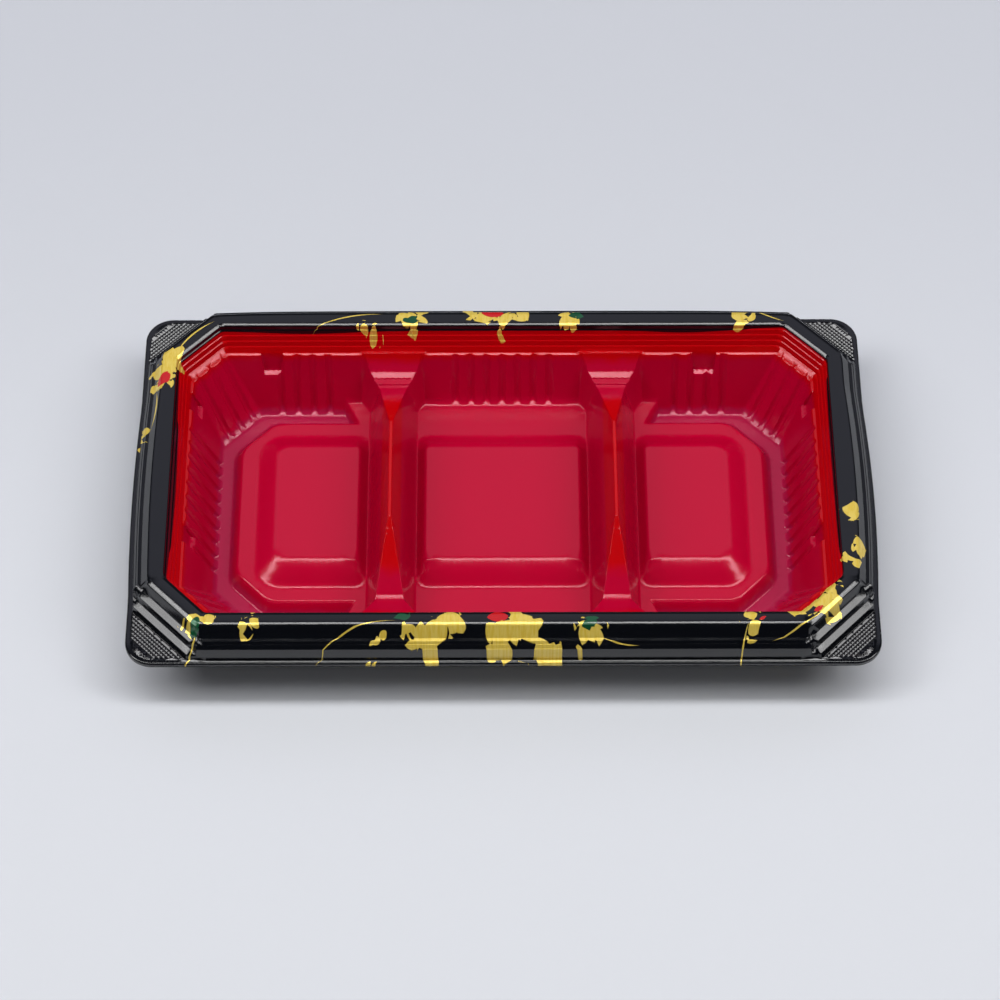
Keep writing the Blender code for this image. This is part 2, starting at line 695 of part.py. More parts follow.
def main():
    for old in list(bpy.data.objects):
        bpy.data.objects.remove(old, do_unlink=True)
    drawing, (step_ring, film_ring) = draw_tray()
    points, faces, numbers = drawing.filled()
    vectors = inward_vectors(points, faces)
    border = np.isclose(points[:, 2], -(FLANGE_DEPTH + FLANGE_LIP))
    vectors[border] = (0.0, 0.0, -1.0)
    depths = {"face": 0.0, "film_back": FILM, "bed": FILM + LAMINATE_GAP, "back": SHELL}
    layers = {name: layer(points, faces, vectors, depth) for name, depth in depths.items()}
    seed = numbers[drawing.vertex((DIVIDER_X + RIDGE / 2, RIDGE_LENGTH / 2, -RIDGE_DEPTH))]
    lined = inside_ring(faces, [numbers[k] for k in step_ring], seed)
    filmed = inside_ring(faces, [numbers[k] for k in film_ring], seed)

    sheet = Solid()
    sheet.patch(layers, "face", faces[~lined])
    sheet.patch(layers, "bed", faces[lined])
    sheet.patch(layers, "back", faces[:, ::-1])
    sheet.band(layers, "face", "back", rim_edges(faces))
    step = [edge[::-1] for edge in rim_edges(faces[lined])]
    sheet.band(layers, "face", "bed", step)
    sheet.to_object("formed_sheet", make_material("black_sheet", (0.012, 0.012, 0.013), 0.2))

    film = Solid()
    film.patch(layers, "face", faces[filmed])
    film.patch(layers, "film_back", faces[filmed][:, ::-1])
    film.band(layers, "face", "film_back", rim_edges(faces[filmed]))
    film.to_object("red_film", make_material("red_film", (0.55, 0.0, 0.02), 0.12))


main()
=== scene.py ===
"""Dresses a packed lunch tray: its formed black sheet, its red lining, the print and a studio.

The tray's upper face is one height function of the plan. The pieces are meshes of that face,
with rows of points along its rim and finer triangles wherever the face bends.
Lengths in the drawing code are millimetres, and heights are measured up from the rim's land.
"""

import math

import bpy
import numpy as np
from bpy.props import FloatProperty, FloatVectorProperty, PointerProperty
from mathutils import Euler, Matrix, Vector
from mathutils.geometry import delaunay_2d_cdt


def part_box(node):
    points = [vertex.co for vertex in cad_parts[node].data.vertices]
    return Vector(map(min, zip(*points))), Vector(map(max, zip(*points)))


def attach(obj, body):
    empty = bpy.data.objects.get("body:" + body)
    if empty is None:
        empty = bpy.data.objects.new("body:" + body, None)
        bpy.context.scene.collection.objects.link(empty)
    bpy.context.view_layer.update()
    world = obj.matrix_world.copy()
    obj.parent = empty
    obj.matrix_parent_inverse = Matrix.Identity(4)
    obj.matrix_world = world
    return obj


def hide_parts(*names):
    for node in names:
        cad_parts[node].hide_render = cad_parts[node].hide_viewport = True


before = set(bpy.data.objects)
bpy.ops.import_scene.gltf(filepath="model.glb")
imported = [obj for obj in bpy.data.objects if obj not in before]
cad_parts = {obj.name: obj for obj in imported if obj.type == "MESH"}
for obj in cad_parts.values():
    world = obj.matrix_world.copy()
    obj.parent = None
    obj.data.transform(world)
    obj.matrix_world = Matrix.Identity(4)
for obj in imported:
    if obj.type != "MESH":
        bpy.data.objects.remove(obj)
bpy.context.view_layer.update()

bl_info = {
    "name": "Lunch Tray Dresser",
    "version": (1, 0, 0),
    "blender": (4, 5, 0),
    "location": "3D View > Sidebar > Lunch Tray",
    "description": "Builds the fine surface, print and studio of a formed lunch tray",
    "category": "Object",
}

MM = 0.001
SHEET_LOW, SHEET_HIGH = (np.array(corner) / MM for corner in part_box("formed_sheet"))
LENGTH, WIDTH, HEIGHT = SHEET_HIGH - SHEET_LOW
ROOT_TWO = math.sqrt(2)
QUARTERS = ((1, 1), (-1, 1), (-1, -1), (1, -1))

# Rim, from the opening's edge outwards
END_RIM = 11.5
SIDE_RIM = 11.1
OPENING_CHAMFER = 13.3
OPENING_X = LENGTH / 2 - END_RIM
OPENING_Y = WIDTH / 2 - SIDE_RIM
CORNER_BLEND, CORNER_BLEND_GROWTH, CORNER_BLEND_REACH = 0.8, 0.1, 12.0
OPENING_ROUND = 0.35
EDGE_BEVEL, BEVEL_FALL, CORNER_BEVEL_FALL = (0.75, 0.3), 0.32, 0.47
FLANGE_DEPTH = 11.5
FLANGE_RADIUS = 8.5
END_BOW, BOW_MIDDLE, BOW_REACH = (0.95, 1.3), -6.0, 36.0
FAR_BOW, FAR_BOW_REACH = 0.7, 90.0
BOW_START = 3.0
LIP = 0.6
LAND_ROUND, STEP_ROUND = 0.7, 0.14
LAND_EDGE, LAND_SLOPES = 3.4, ((1.1, 0.24),)
SIDE_STEPS = ((6.8, 3.78, 1.0, 0.21), (8.3, 4.8, 0.2, 0.04), (9.23, 6.0, 0.2, 0.04))
SIDE_FOOT = 9.75
CORNER_LAND_EDGE, CORNER_SLOPES = 3.7, ((1.5, 0.52),)
CORNER_STEPS = ((6.2, 4.7, 2.0, 0.7), (8.65, 8.1, 2.0, 0.7))
CORNER_FOOT = 11.1
SKIRT_START, RIB_START, LEDGE_END = -18.0, -16.0, 120.0

# Arcs at a profile's corners: the most of a side that one takes, the turn of a step, the least turn
ARC_ROOM, ARC_STEP, LEAST_TURN = 0.48, 0.35, 0.03

# Ribbed upper wall, ledge and fluted lower wall, from the opening's edge inwards
RIBS = 5
RIB_TREAD = 0.35
RIB_FALL, CORNER_RIB_FALL = 0.19, 0.16
RIB_ROUND = 0.16
LEDGE_ROUND, LEDGE_FALL = 0.45, 0.27
LEDGE_RUN, LEDGE_DEPTH = 4.0, 9.38
EDGE_RUN, EDGE_DEPTH = 4.9, 9.6
WALL_RUN, CENTRE_WALL_RUN = 8.3, 7.2
FOOT_CHAMFER = 11.9
FLUTE = 2.5
FLUTE_TOP_CUT, FLUTE_FOOT_CUT = 0.45, 1.2
FLUTE_SHARPNESS = 1.35
END_FLUTES, END_PITCH = 9, 5.07
SIDE_FLUTES, SIDE_PITCH, SIDE_FLUTES_X = 4, 5.15, 63.5
CENTRE_FLUTES, CENTRE_PITCH = 7, 5.0
CORNER_FLUTES, CORNER_PITCH = 3, 5.07
ABOVE_EDGE = 12.0

HEEL, SIDE_HEEL_SLOPE, CORNER_HEEL_SLOPE = 1.7, 0.29, 0.36
CORNER_RUN = (2 * (EDGE_RUN + WALL_RUN) - OPENING_CHAMFER + FOOT_CHAMFER) / ROOT_TWO - EDGE_RUN

# Stacking notches
NOTCH_DEPTH = 16.0
NOTCH_SHELF_RUN = 5.95
NOTCH_STEEPNESS, NOTCH_SHELF_SLOPE = 8.0, 0.3
NOTCH_REACH = 9.0
RIGHT_NOTCH_X, RIGHT_NOTCH = 65.0, 8.0
LEFT_NOTCH_X, LEFT_NOTCH = -74.0, 7.2
END_NOTCHES_Y, END_NOTCH = (31.0, -18.8), 6.6

# Floors
CHANNEL_DEPTH, BAND_DEPTH, FIELD_DEPTH = 30.4, 26.2, 22.0
CHANNEL = 4.4
PANEL_RUN = 2.4
FIELD_X, FIELD_Y = 77.8, 28.2
FIELD_RUN, FIELD_SIDE_RUN = 5.9, 2.9
FIELD_RADII, FIELD_SIDE_RADII = (8.5, 4.5), (4.0, 1.8)
CHANNEL_END_X, CHANNEL_END_Y = 46.2, 33.9
CHANNEL_END_SLANT, CHANNEL_END_SLOPE = 0.5, 2.6
CENTRE_REACH = CHANNEL_END_X - 8

# Dividers
DIVIDER_X = 35.0
RIDGE, RIDGE_END, RIDGE_DEPTH = 1.0, 17.8, 2.0
DIVIDER_LEAN = 0.294
VALLEY_Y, VALLEY_DEPTH = 39.9, 15.1
VALLEY_FLAT, VALLEY_FLAT_FALL = 1.5, 0.4
FAN = 18.2
FAN_FOOT_Y = 38.5
FAN_BLEND = 3.6
FAN_STEPS = ((0.9, 0.0), (0.4, 0.6), (1.5, 0.0), (0.35, 0.6), (1.85, 0.6))
FAN_TOP_Y = VALLEY_Y + sum(run for run, _ in FAN_STEPS)
CENTRE_FOOT = DIVIDER_X - RIDGE / 2 - DIVIDER_LEAN * (BAND_DEPTH - RIDGE_DEPTH)
FAN_BLEND_RUN, EDGE_Y = 1.5, OPENING_Y - EDGE_RUN
CREST_END = ((0.0, EDGE_DEPTH), (0.2, EDGE_DEPTH), (2.2, VALLEY_DEPTH))

# How softly neighbouring faces run into each other
WALL_BLEND, CORNER_WALL_BLEND, LEDGE_BLEND, HEEL_BLEND = 0.8, 0.9, 0.35, 0.3
NOTCH_BLEND, NOTCH_CHEEK_BLEND, NOTCH_SHELF_BLEND = 0.25, 0.8, 0.6
DIVIDER_BLEND, FLARE_BLEND, CREST_BLEND = 0.8, 2.0, 0.45
PANEL_BLEND, PANEL_CORNER_BLEND, RAMP_BLEND, BAND_BLEND, CHANNEL_BLEND = 1.6, 2.2, 1.0, 1.3, 1.2
FIELD_BLEND, FIELD_TOP_BLEND, NEAR_TOP_BLEND, NEAR_TOP = 0.9, 1.0, 1.6, (17.0, 5.0)
FLOOR_BLEND, FLOOR_CORNER_BLEND, CORNER_FROM, CORNER_OVER = 1.4, 1.0, 9.0, 6.0

# Corner tabs
KNURL_PITCH, KNURL_HEIGHT = 1.06, 0.122
CRESCENT_INSET, CRESCENT, CRESCENT_HEIGHT, CRESCENT_SWING = 1.5, 2.0, 0.62, 0.95
CRESCENT_TOP = 0.8
FLANGE_BEVEL, FLANGE_BEVEL_FALL = 0.85, 0.19
KNURL_GAP, KNURL_EDGE_GAP, KNURL_CLEAR = 0.3, 0.1, 0.02

# Rows of points: along the ledge, beyond the foot of the walls, along the rim and near its corners
LEDGE_LINES = (4.5, 4.78, 5.1)
FOOT_LINES, FOOT_SPACING = (-0.2, 0.35, 1.2, 1.8), 1.1
ROW_SPACING = 4.0
CORNER_SPACING = (0.25, 0.6, 1.0, 1.5, 2.2, 3.0)
COLOUR_SPACING, COLOUR_CORNER_SPACING = 1.1, (0.3, 0.7)
LIP_ROWS, LIP_TURNS = (0.0, 0.1, 0.25, 0.45, 0.7, 1.0, 1.0 + FLANGE_BEVEL / LIP), 22
TAB_GAP, TAB_EDGE_GAP, TAB_ROWS, TAB_COLUMNS = 0.35, 0.12, 60, (-140, 300)

# Fineness of the plans: how closely triangles follow the face, and their shortest side
FINE_PLAN, QUICK_FINE_PLAN, FINE_SEEDS = (0.02, 0.22), (0.04, 0.3), 1.8
COARSE_PLAN, QUICK_COARSE_PLAN, COARSE_SEEDS = (0.05, 0.45), (0.08, 0.6), 2.6
SEED_ROW, SEED_INSET = 0.866, EDGE_RUN + 0.4
REFINED_INSET, REFINEMENTS = LEDGE_RUN - 0.15, 7

# Print, in plan: clusters of leaf flakes as (x, y, turn, reach, count, size), then single marks
LEAF_CLUSTERS = (
    (-107, 36, 80, 8, 3, 5.2),
    (-112, 14, 60, 1, 1, 2.4),
    (-92, -57, 40, 3.5, 2, 4.2),
    (-77, -57, 10, 3, 2, 3.6),
    (-39, -63, 15, 3, 2, 2.4),
    (-22, -59, 5, 8, 3, 5.6),
    (6, -60, -8, 10, 3, 6.2),
    (26, -60, 20, 3, 2, 4.6),
    (75, -57, 70, 3, 2, 3.8),
    (96, -50, 48, 8, 3, 6.0),
    (108, -33, 85, 5, 2, 4.2),
    (107, -18, 60, 2, 1, 3.4),
    (-28, 57, 4, 5, 2, 4.6),
    (-2, 57, 176, 11, 4, 5.2),
    (22, 57, 12, 3, 2, 4.2),
    (78, 57, 40, 3, 2, 3.2),
    (-42, 53, 10, 3, 2, 1.9),
)
THREADS = (
    (-99, 50, 48, 9, 0.3, -1.6),
    (-109, 22, 85, 7, 0.3, 0.8),
    (-46, -59, 20, 14, 0.22, -2.6),
    (-94, -62, 60, 6, 0.28, 1.2),
    (34, -62, -12, 7, 0.2, 0.9),
    (72, -63, 80, 6, 0.25, -0.8),
    (90, -58, 30, 10, 0.25, 1.4),
    (-50, 57, 14, 12, 0.25, -1.8),
    (84, 58, -30, 7, 0.25, 0.8),
)
RED_SEEDS = (
    (-107, 33, 60, 3.0, 1.7, 0.6),
    (-2, -55.5, 4, 3.2, 1.9, 0.6),
    (-3, 58.5, 0, 3.4, 1.8, 0.6),
    (78, -56, 30, 1.3, 0.5, 0.6),
    (95, -53, 40, 1.6, 0.6, 0.6),
)
GREEN_SLIVERS = (
    (-93, -58, 70, 2.4, 1.5, 1.6),
    (-30, -55, 10, 2.6, 1.5, 2.0),
    (26, -57, 20, 2.6, 1.6, 2.2),
    (-29, 56, 15, 2.2, 1.6, 2.0),
    (24, 58, 0, 2.6, 1.2, 1.8),
)

# Sheet and film
FILM = 0.2
BED = 0.5
SHELL = 1.2
COLOUR_LINE = 2.1
COLOUR_SWELLS = (
    (-62, 53, 18, 1.1),
    (58, 53, 12, 0.8),
    (96, 47, 16, -1.4),
    (-103, -6, 32, 2.8),
    (103, 8, 28, 0.7),
    (-95, -50, 13, -1.4),
    (100, -46, 14, -1.2),
)
BALL_RINGS = ((0.35, 8), (0.7, 12), (0.9, 12), (1.0, 16))

# Flakes of a cluster: how far they swing off its line, shrink towards its ends, vary and turn
FLAKE_SWING, FLAKE_SHRINK, FLAKE_VARIETY, FLAKE_TURN = 0.35, 0.28, 0.2, 68
FLAKE_WIDTH, FLAKE_TEAR = 0.72, 3.4
FLAKE_PHASES = (2.4, 5.1, 1.9, 0.3)

# Finish of the film and the leaf, with its noises drawn over millimetres
CLOUD_SCALE, PATCH_SCALE, WAVE_SCALE, GRAIN_SCALE = 0.11, 0.6, 0.22, 5.0
CLOUD_SHARE, PATCH_SHARE, EVEN_SHARE = 0.6, 0.4, 0.5
GRAIN_HEIGHT = 0.012
STROKE_STRETCH, STROKE_SCALE, STROKE_LEVELS = (0.9, 0.16, 1), 1.4, ((0.35, 0), (0.62, 1))
TEAR_SCALE, FLAKE_ROUNDNESS, FLAKE_EDGE, THREAD_EDGE = 0.3, (1.7, 1.5), 12.0, 16.0
LEAF_METAL, LEAF_ROUGHNESS = 0.3, 0.12
# Depths and noise over which the lining gets painted purple sheen below the ledge and painted shade in the
# channels
WALL_DRAW_SHEEN, CHANNEL_DRAW_SHADE = (LEDGE_DEPTH + 1.2, LEDGE_DEPTH + 4.0), (28.9, 30.9)
DRAW_SHEEN_SCALE, DRAW_SHEEN_WANDER = 0.25, 2.4
LINING_IOR, LINING_SPECULAR, LINING_TINT = 1.6, 0.4, (1.0, 0.62, 0.68, 1)
SHEET_IOR, SHEET_SPECULAR = 1.5, 0.52

# Camera in millimetres and degrees, and the studio in metres
CAMERA_PLACE = (-5.96, -552.2, 843.3)
CAMERA_PITCH, CAMERA_YAW, CAMERA_ROLL, SENSOR = 56.422, 0.531, 0.327, 36
STRIP_WATTS, STRIP_SPAN, STRIP_PLACE = 18.0, (2.3, 0.22), (0, 0.1, 1.5)
SIDE_WATTS, SIDE_SPAN, SIDE_PLACE = 6.5, (0.5, 0.6), (1.2, -0.2, 1.3)
FILL_WATTS, FILL_SPAN, FILL_PLACE = 8.6, (4.5, 2.6), (0, -0.5, 1.4)
FLOOR_REACH, FLOOR_SHADE_FADE, FLOOR_ROUGHNESS = 3.0, (-0.17, 0.23), 0.9
PANEL_HEIGHTS = ((0.42, 0), (0.5, 1), (0.76, 0.9), (0.9, 0), (1, 0.3))
PANEL_WIDTHS = ((0.0, 1), (0.45, 1), (0.7, 0))
PANEL_LEVEL, ROOM_LEVEL, ROOM_COLOUR = 0.62, 0.03, (0.93, 0.94, 1.12, 1)


def unit(value):
    """The value kept within 0 and 1."""
    return np.clip(value, 0.0, 1.0)


def smooth_min(a, b, blend):
    share = unit(0.5 + 0.5 * (b - a) / blend)
    return b + (a - b) * share - blend * share * (1.0 - share)


def smooth_max(a, b, blend):
    return -smooth_min(-a, -b, blend)


def rounded(points):
    """A profile of (across, height, radius) points as arrays, each corner an arc."""
    places, heights = [points[0][0]], [points[0][1]]
    for before, corner, after in zip(points, points[1:], points[2:]):
        here = np.array(corner[:2])
        back, ahead = np.array(before[:2]) - here, np.array(after[:2]) - here
        room = ARC_ROOM * min(np.hypot(*back), np.hypot(*ahead))
        back, ahead = back / np.hypot(*back), ahead / np.hypot(*ahead)
        half = math.acos(float(np.clip(np.dot(back, ahead), -1, 1))) / 2
        turn = math.pi - 2 * half
        if turn < LEAST_TURN:
            continue
        reach = min(corner[2] / math.tan(half), room)
        centre = here + (back + ahead) / np.hypot(*(back + ahead)) * reach / math.cos(half)
        x, y = here + back * reach - centre
        if back[0] * ahead[1] - back[1] * ahead[0] > 0:
            turn = -turn
        steps = max(2, round(abs(turn) / ARC_STEP))
        for k in range(steps + 1):
            cos, sin = math.cos(turn * k / steps), math.sin(turn * k / steps)
            places.append(centre[0] + x * cos - y * sin)
            heights.append(centre[1] + x * sin + y * cos)
    return np.array(places + [points[-1][0]]), np.array(heights + [points[-1][1]])


def skirt(land_edge, slopes, steps, foot):
    """Skirt profile from the flange in to the land, by steps of outset, depth, tread and its fall."""
    outset, depth = land_edge, 0.0
    points = [(-outset / 2, 0.0, 0.0), (-outset, 0.0, LAND_ROUND)]
    for run, fall in slopes:
        outset += run
        depth += fall
        points.append((-outset, -depth, LAND_ROUND))
    for outset, depth, tread, fall in steps:
        points.append((-outset, -depth, STEP_ROUND))
        points.append((-outset - tread, -depth - fall, 1.5 * STEP_ROUND))
    points.append((-foot, -FLANGE_DEPTH, STEP_ROUND))
    points.append((SKIRT_START, -FLANGE_DEPTH, 0.0))
    return rounded(points[::-1])


def rib_wall(bevel_fall, rib_fall):
    """Profile from the land down the ribs to the ledge, which runs on inwards."""
    run, fall = LEDGE_RUN / RIBS, LEDGE_DEPTH / RIBS
    before, beyond = EDGE_BEVEL
    points = [(RIB_START, 0.0, 0.0), (-before, 0.0, OPENING_ROUND), (beyond, -bevel_fall, OPENING_ROUND)]
    for k in range(1, RIBS):
        points.append((run * k - RIB_TREAD, rib_fall - fall * k, RIB_ROUND))
        points.append((run * k, -fall * k, RIB_ROUND))
    ledge_slope = LEDGE_FALL / (EDGE_RUN - LEDGE_RUN)
    points.append((LEDGE_RUN, -LEDGE_DEPTH, LEDGE_ROUND))
    points.append((LEDGE_END, -LEDGE_DEPTH - ledge_slope * (LEDGE_END - LEDGE_RUN), 0.0))
    return rounded(points)


SIDE_SKIRT = skirt(LAND_EDGE, LAND_SLOPES, SIDE_STEPS, SIDE_FOOT)
CORNER_SKIRT = skirt(CORNER_LAND_EDGE, CORNER_SLOPES, CORNER_STEPS, CORNER_FOOT)
RIB_WALL = rib_wall(BEVEL_FALL, RIB_FALL)
CORNER_RIB_WALL = rib_wall(CORNER_BEVEL_FALL, CORNER_RIB_FALL)


def bows(x, y):
    """How far the ends and the far side bulge outwards at a place along them."""
    end = np.where(x > 0, END_BOW[1], END_BOW[0])
    end = end * unit(1.0 - ((y - BOW_MIDDLE) / BOW_REACH) ** 2)
    side = np.where(y > 0, FAR_BOW, 0.0) * unit(1.0 - (x / FAR_BOW_REACH) ** 6)
    return end, side


def bowed(x, y):
    """Where a place of the straight-sided rim lies once the rim has bulged."""
    end_bow, side_bow = bows(x, y)
    end_share = unit((np.abs(x) - OPENING_X) / BOW_START)
    side_share = unit((np.abs(y) - OPENING_Y) / BOW_START)
    return x + np.sign(x) * end_bow * end_share, y + np.sign(y) * side_bow * side_share


def insets(x, y):
    """How far in from the opening's ends, long sides and chamfers a place is."""
    end, side = OPENING_X - np.abs(x), OPENING_Y - np.abs(y)
    corner = (OPENING_X + OPENING_Y - OPENING_CHAMFER - np.abs(x) - np.abs(y)) / ROOT_TWO
    end_bow, side_bow = bows(x, y)
    end = np.where(end < 0, np.minimum(end / (1 + end_bow / BOW_START), end + end_bow), end)
    side = np.where(side < 0, np.minimum(side / (1 + side_bow / BOW_START), side + side_bow), side)
    return end, side, corner


def rim_insets(x, y):
    """Insets from the straight sides and from the chamfers, rounded where they meet."""
    end, side, corner = insets(x, y)
    low = np.minimum(end, side)
    blend = CORNER_BLEND + CORNER_BLEND_GROWTH * np.clip(-low, 0.0, CORNER_BLEND_REACH)
    deficit = smooth_min(low, corner, blend) - np.minimum(low, corner)
    return low + deficit, corner + deficit


def flutes(along, count, pitch, middle=0.0):
    """1 on the bed of a flute, 0 off it."""
    nearest = np.clip(np.round((along - middle) / pitch + (count - 1) / 2), 0, count - 1)
    off = (along - middle - pitch * (nearest - (count - 1) / 2)) / (FLUTE / 2)
    return unit(1.0 - off * off) ** FLUTE_SHARPNESS


def wall_height(inset, run, foot_depth, fluted):
    """A sloping wall below the ledge, with its flutes cut outwards."""
    share = unit((inset - EDGE_RUN) / run)
    cut = fluted * (FLUTE_TOP_CUT + (FLUTE_FOOT_CUT - FLUTE_TOP_CUT) * share)
    beyond = inset + cut - EDGE_RUN
    return -EDGE_DEPTH - beyond * np.where(beyond > 0, (foot_depth - EDGE_DEPTH) / run, ABOVE_EDGE)


def rounded_box(x, y, half_x, half_y, radius):
    """Signed distance out of a rounded rectangle."""
    across, up = np.abs(x) - half_x + radius, np.abs(y) - half_y + radius
    outside = np.hypot(np.maximum(across, 0), np.maximum(up, 0))
    return outside + np.minimum(np.maximum(across, up), 0) - radius


def field_rise(x, y):
    """0 on the floor round a raised field, 1 on its top."""
    outer_foot = 2 * DIVIDER_X - CENTRE_FOOT
    centre = np.abs(x) < DIVIDER_X
    middle = np.where(centre, 0.0, (outer_foot + FIELD_X) / 2)
    half = np.where(centre, CENTRE_FOOT, (FIELD_X - outer_foot) / 2)
    across = np.where(centre, x, np.abs(x) - middle)
    outer = ~centre & (across > 0)
    run = np.where(outer, FIELD_RUN, FIELD_SIDE_RUN)
    foot_radius = np.where(outer, FIELD_RADII[0], FIELD_SIDE_RADII[0])
    top_radius = np.where(outer, FIELD_RADII[1], FIELD_SIDE_RADII[1])
    within = -rounded_box(across, y, half, FIELD_Y, foot_radius)
    short = rounded_box(across, y, half - run, FIELD_Y - FIELD_RUN, top_radius)
    return within / np.maximum(within + short, 0.3)


def floor_height(x, y):
    """Channels, frames and raised fields of the three floors."""
    panel_x, panel_y = (half - EDGE_RUN - WALL_RUN - CHANNEL for half in (OPENING_X, OPENING_Y))
    low = smooth_min(panel_x - np.abs(x), panel_y - np.abs(y), PANEL_BLEND)
    corner = (panel_x + panel_y - FOOT_CHAMFER - np.abs(x) - np.abs(y)) / ROOT_TWO
    within = smooth_min(low, corner, PANEL_CORNER_BLEND)
    depth = CHANNEL_DEPTH - BAND_DEPTH
    panel = -CHANNEL_DEPTH + depth * within / PANEL_RUN
    ending = np.abs(x) - CHANNEL_END_X - CHANNEL_END_SLANT * (np.abs(y) - CHANNEL_END_Y)
    ramp = -BAND_DEPTH - CHANNEL_END_SLOPE * ending
    raised = smooth_min(smooth_max(panel, ramp, RAMP_BLEND), -BAND_DEPTH, BAND_BLEND)
    side_floor = smooth_max(raised, -CHANNEL_DEPTH, CHANNEL_BLEND)
    floor = np.where(np.abs(x) < CENTRE_REACH, -BAND_DEPTH, side_floor)
    field = BAND_DEPTH - FIELD_DEPTH
    near_top, run = NEAR_TOP
    top_blend = FIELD_TOP_BLEND + NEAR_TOP_BLEND * unit((-y - near_top) / run)
    return floor + smooth_min(smooth_max(field_rise(x, y) * field, 0.0, FIELD_BLEND), field, top_blend)


def crest(valley, steps):
    """Places along a divider and its top's depths there: ridge, valley, steps and the ledge's edge."""
    line = [(0.0, RIDGE_DEPTH), (RIDGE_END, RIDGE_DEPTH), *valley]
    for run, climb in steps:
        line.append((line[-1][0] + run, line[-1][1] - climb))
    line += [(EDGE_Y + run, depth) for run, depth in CREST_END]
    return np.array(line).T


VALLEY = (VALLEY_Y, VALLEY_DEPTH)
NEAR_CREST = crest([(VALLEY_Y - VALLEY_FLAT, VALLEY_DEPTH - VALLEY_FLAT_FALL), VALLEY], ())
FAR_CREST = crest([VALLEY], FAN_STEPS)


def divider_half(depth):
    """Half of a divider's width at a depth."""
    return RIDGE / 2 + DIVIDER_LEAN * (depth - RIDGE_DEPTH)


def divider_height(x, y):
    """Ridge, ramps and flared ends of the two dividers."""
    off, along = np.abs(np.abs(x) - DIVIDER_X), np.abs(y)
    top = -np.where(y > 0, np.interp(along, *FAR_CREST), np.interp(along, *NEAR_CREST))
    side = -RIDGE_DEPTH - (off - RIDGE / 2) / DIVIDER_LEAN
    valley = np.array((divider_half(VALLEY_DEPTH), VALLEY_Y, -VALLEY_DEPTH))
    flare = np.array((FAN / 2, EDGE_Y, -EDGE_DEPTH)) - valley
    foot = np.array((divider_half(BAND_DEPTH), FAN_FOOT_Y, -BAND_DEPTH)) - valley
    normal = np.cross(flare, foot)
    fan = -VALLEY_DEPTH - (normal[0] * (off - valley[0]) + normal[1] * (along - valley[1])) / normal[2]
    return smooth_min(top, smooth_max(side, fan, FLARE_BLEND), CREST_BLEND)


def notch_height(along, inset, middle, width):
    """A stacking notch cut through the ledge, or far above the tray where there is none."""
    steep = (NOTCH_DEPTH - LEDGE_DEPTH) / (NOTCH_SHELF_RUN - LEDGE_RUN)
    back = -LEDGE_DEPTH - steep * (inset - LEDGE_RUN)
    cheek = -LEDGE_DEPTH + NOTCH_STEEPNESS * (np.abs(along - middle) - width / 2)
    shelf = -NOTCH_DEPTH - NOTCH_SHELF_SLOPE * (inset - NOTCH_SHELF_RUN)
    pocket = smooth_max(smooth_max(back, cheek, NOTCH_CHEEK_BLEND), shelf, NOTCH_SHELF_BLEND)
    return np.where(inset < NOTCH_REACH, pocket, 1.0)


def wall_heights(x, y, end, side, corner):
    """The fluted walls of the ends, the long sides and the corners, where the highest counts."""
    end_wall = wall_height(end, WALL_RUN, CHANNEL_DEPTH, flutes(y, END_FLUTES, END_PITCH))
    side_fluted = flutes(np.abs(x), SIDE_FLUTES, SIDE_PITCH, SIDE_FLUTES_X)
    side_wall = wall_height(side, WALL_RUN, CHANNEL_DEPTH, side_fluted)
    centre_wall = wall_height(side, CENTRE_WALL_RUN, BAND_DEPTH, flutes(x, CENTRE_FLUTES, CENTRE_PITCH))
    side_wall = np.where(np.abs(x) > DIVIDER_X, side_wall, centre_wall)
    middle = (OPENING_Y - OPENING_X) / ROOT_TWO
    along = (np.abs(y) - np.abs(x)) / ROOT_TWO
    corner_fluted = flutes(along, CORNER_FLUTES, CORNER_PITCH, middle)
    corner_wall = wall_height(corner, CORNER_RUN, CHANNEL_DEPTH, corner_fluted)
    return smooth_max(smooth_max(end_wall, side_wall, WALL_BLEND), corner_wall, CORNER_WALL_BLEND)


def heel_height(x, side, corner):
    """The slope from the foot of the walls into the floors."""
    outer = np.abs(x) > DIVIDER_X
    side_foot = EDGE_RUN + HEEL + np.where(outer, WALL_RUN, CENTRE_WALL_RUN)
    heel = SIDE_HEEL_SLOPE * (side_foot - side) - np.where(outer, CHANNEL_DEPTH, BAND_DEPTH)
    corner_heel = CORNER_HEEL_SLOPE * (EDGE_RUN + HEEL + CORNER_RUN - corner) - CHANNEL_DEPTH
    return smooth_max(heel, corner_heel, HEEL_BLEND)


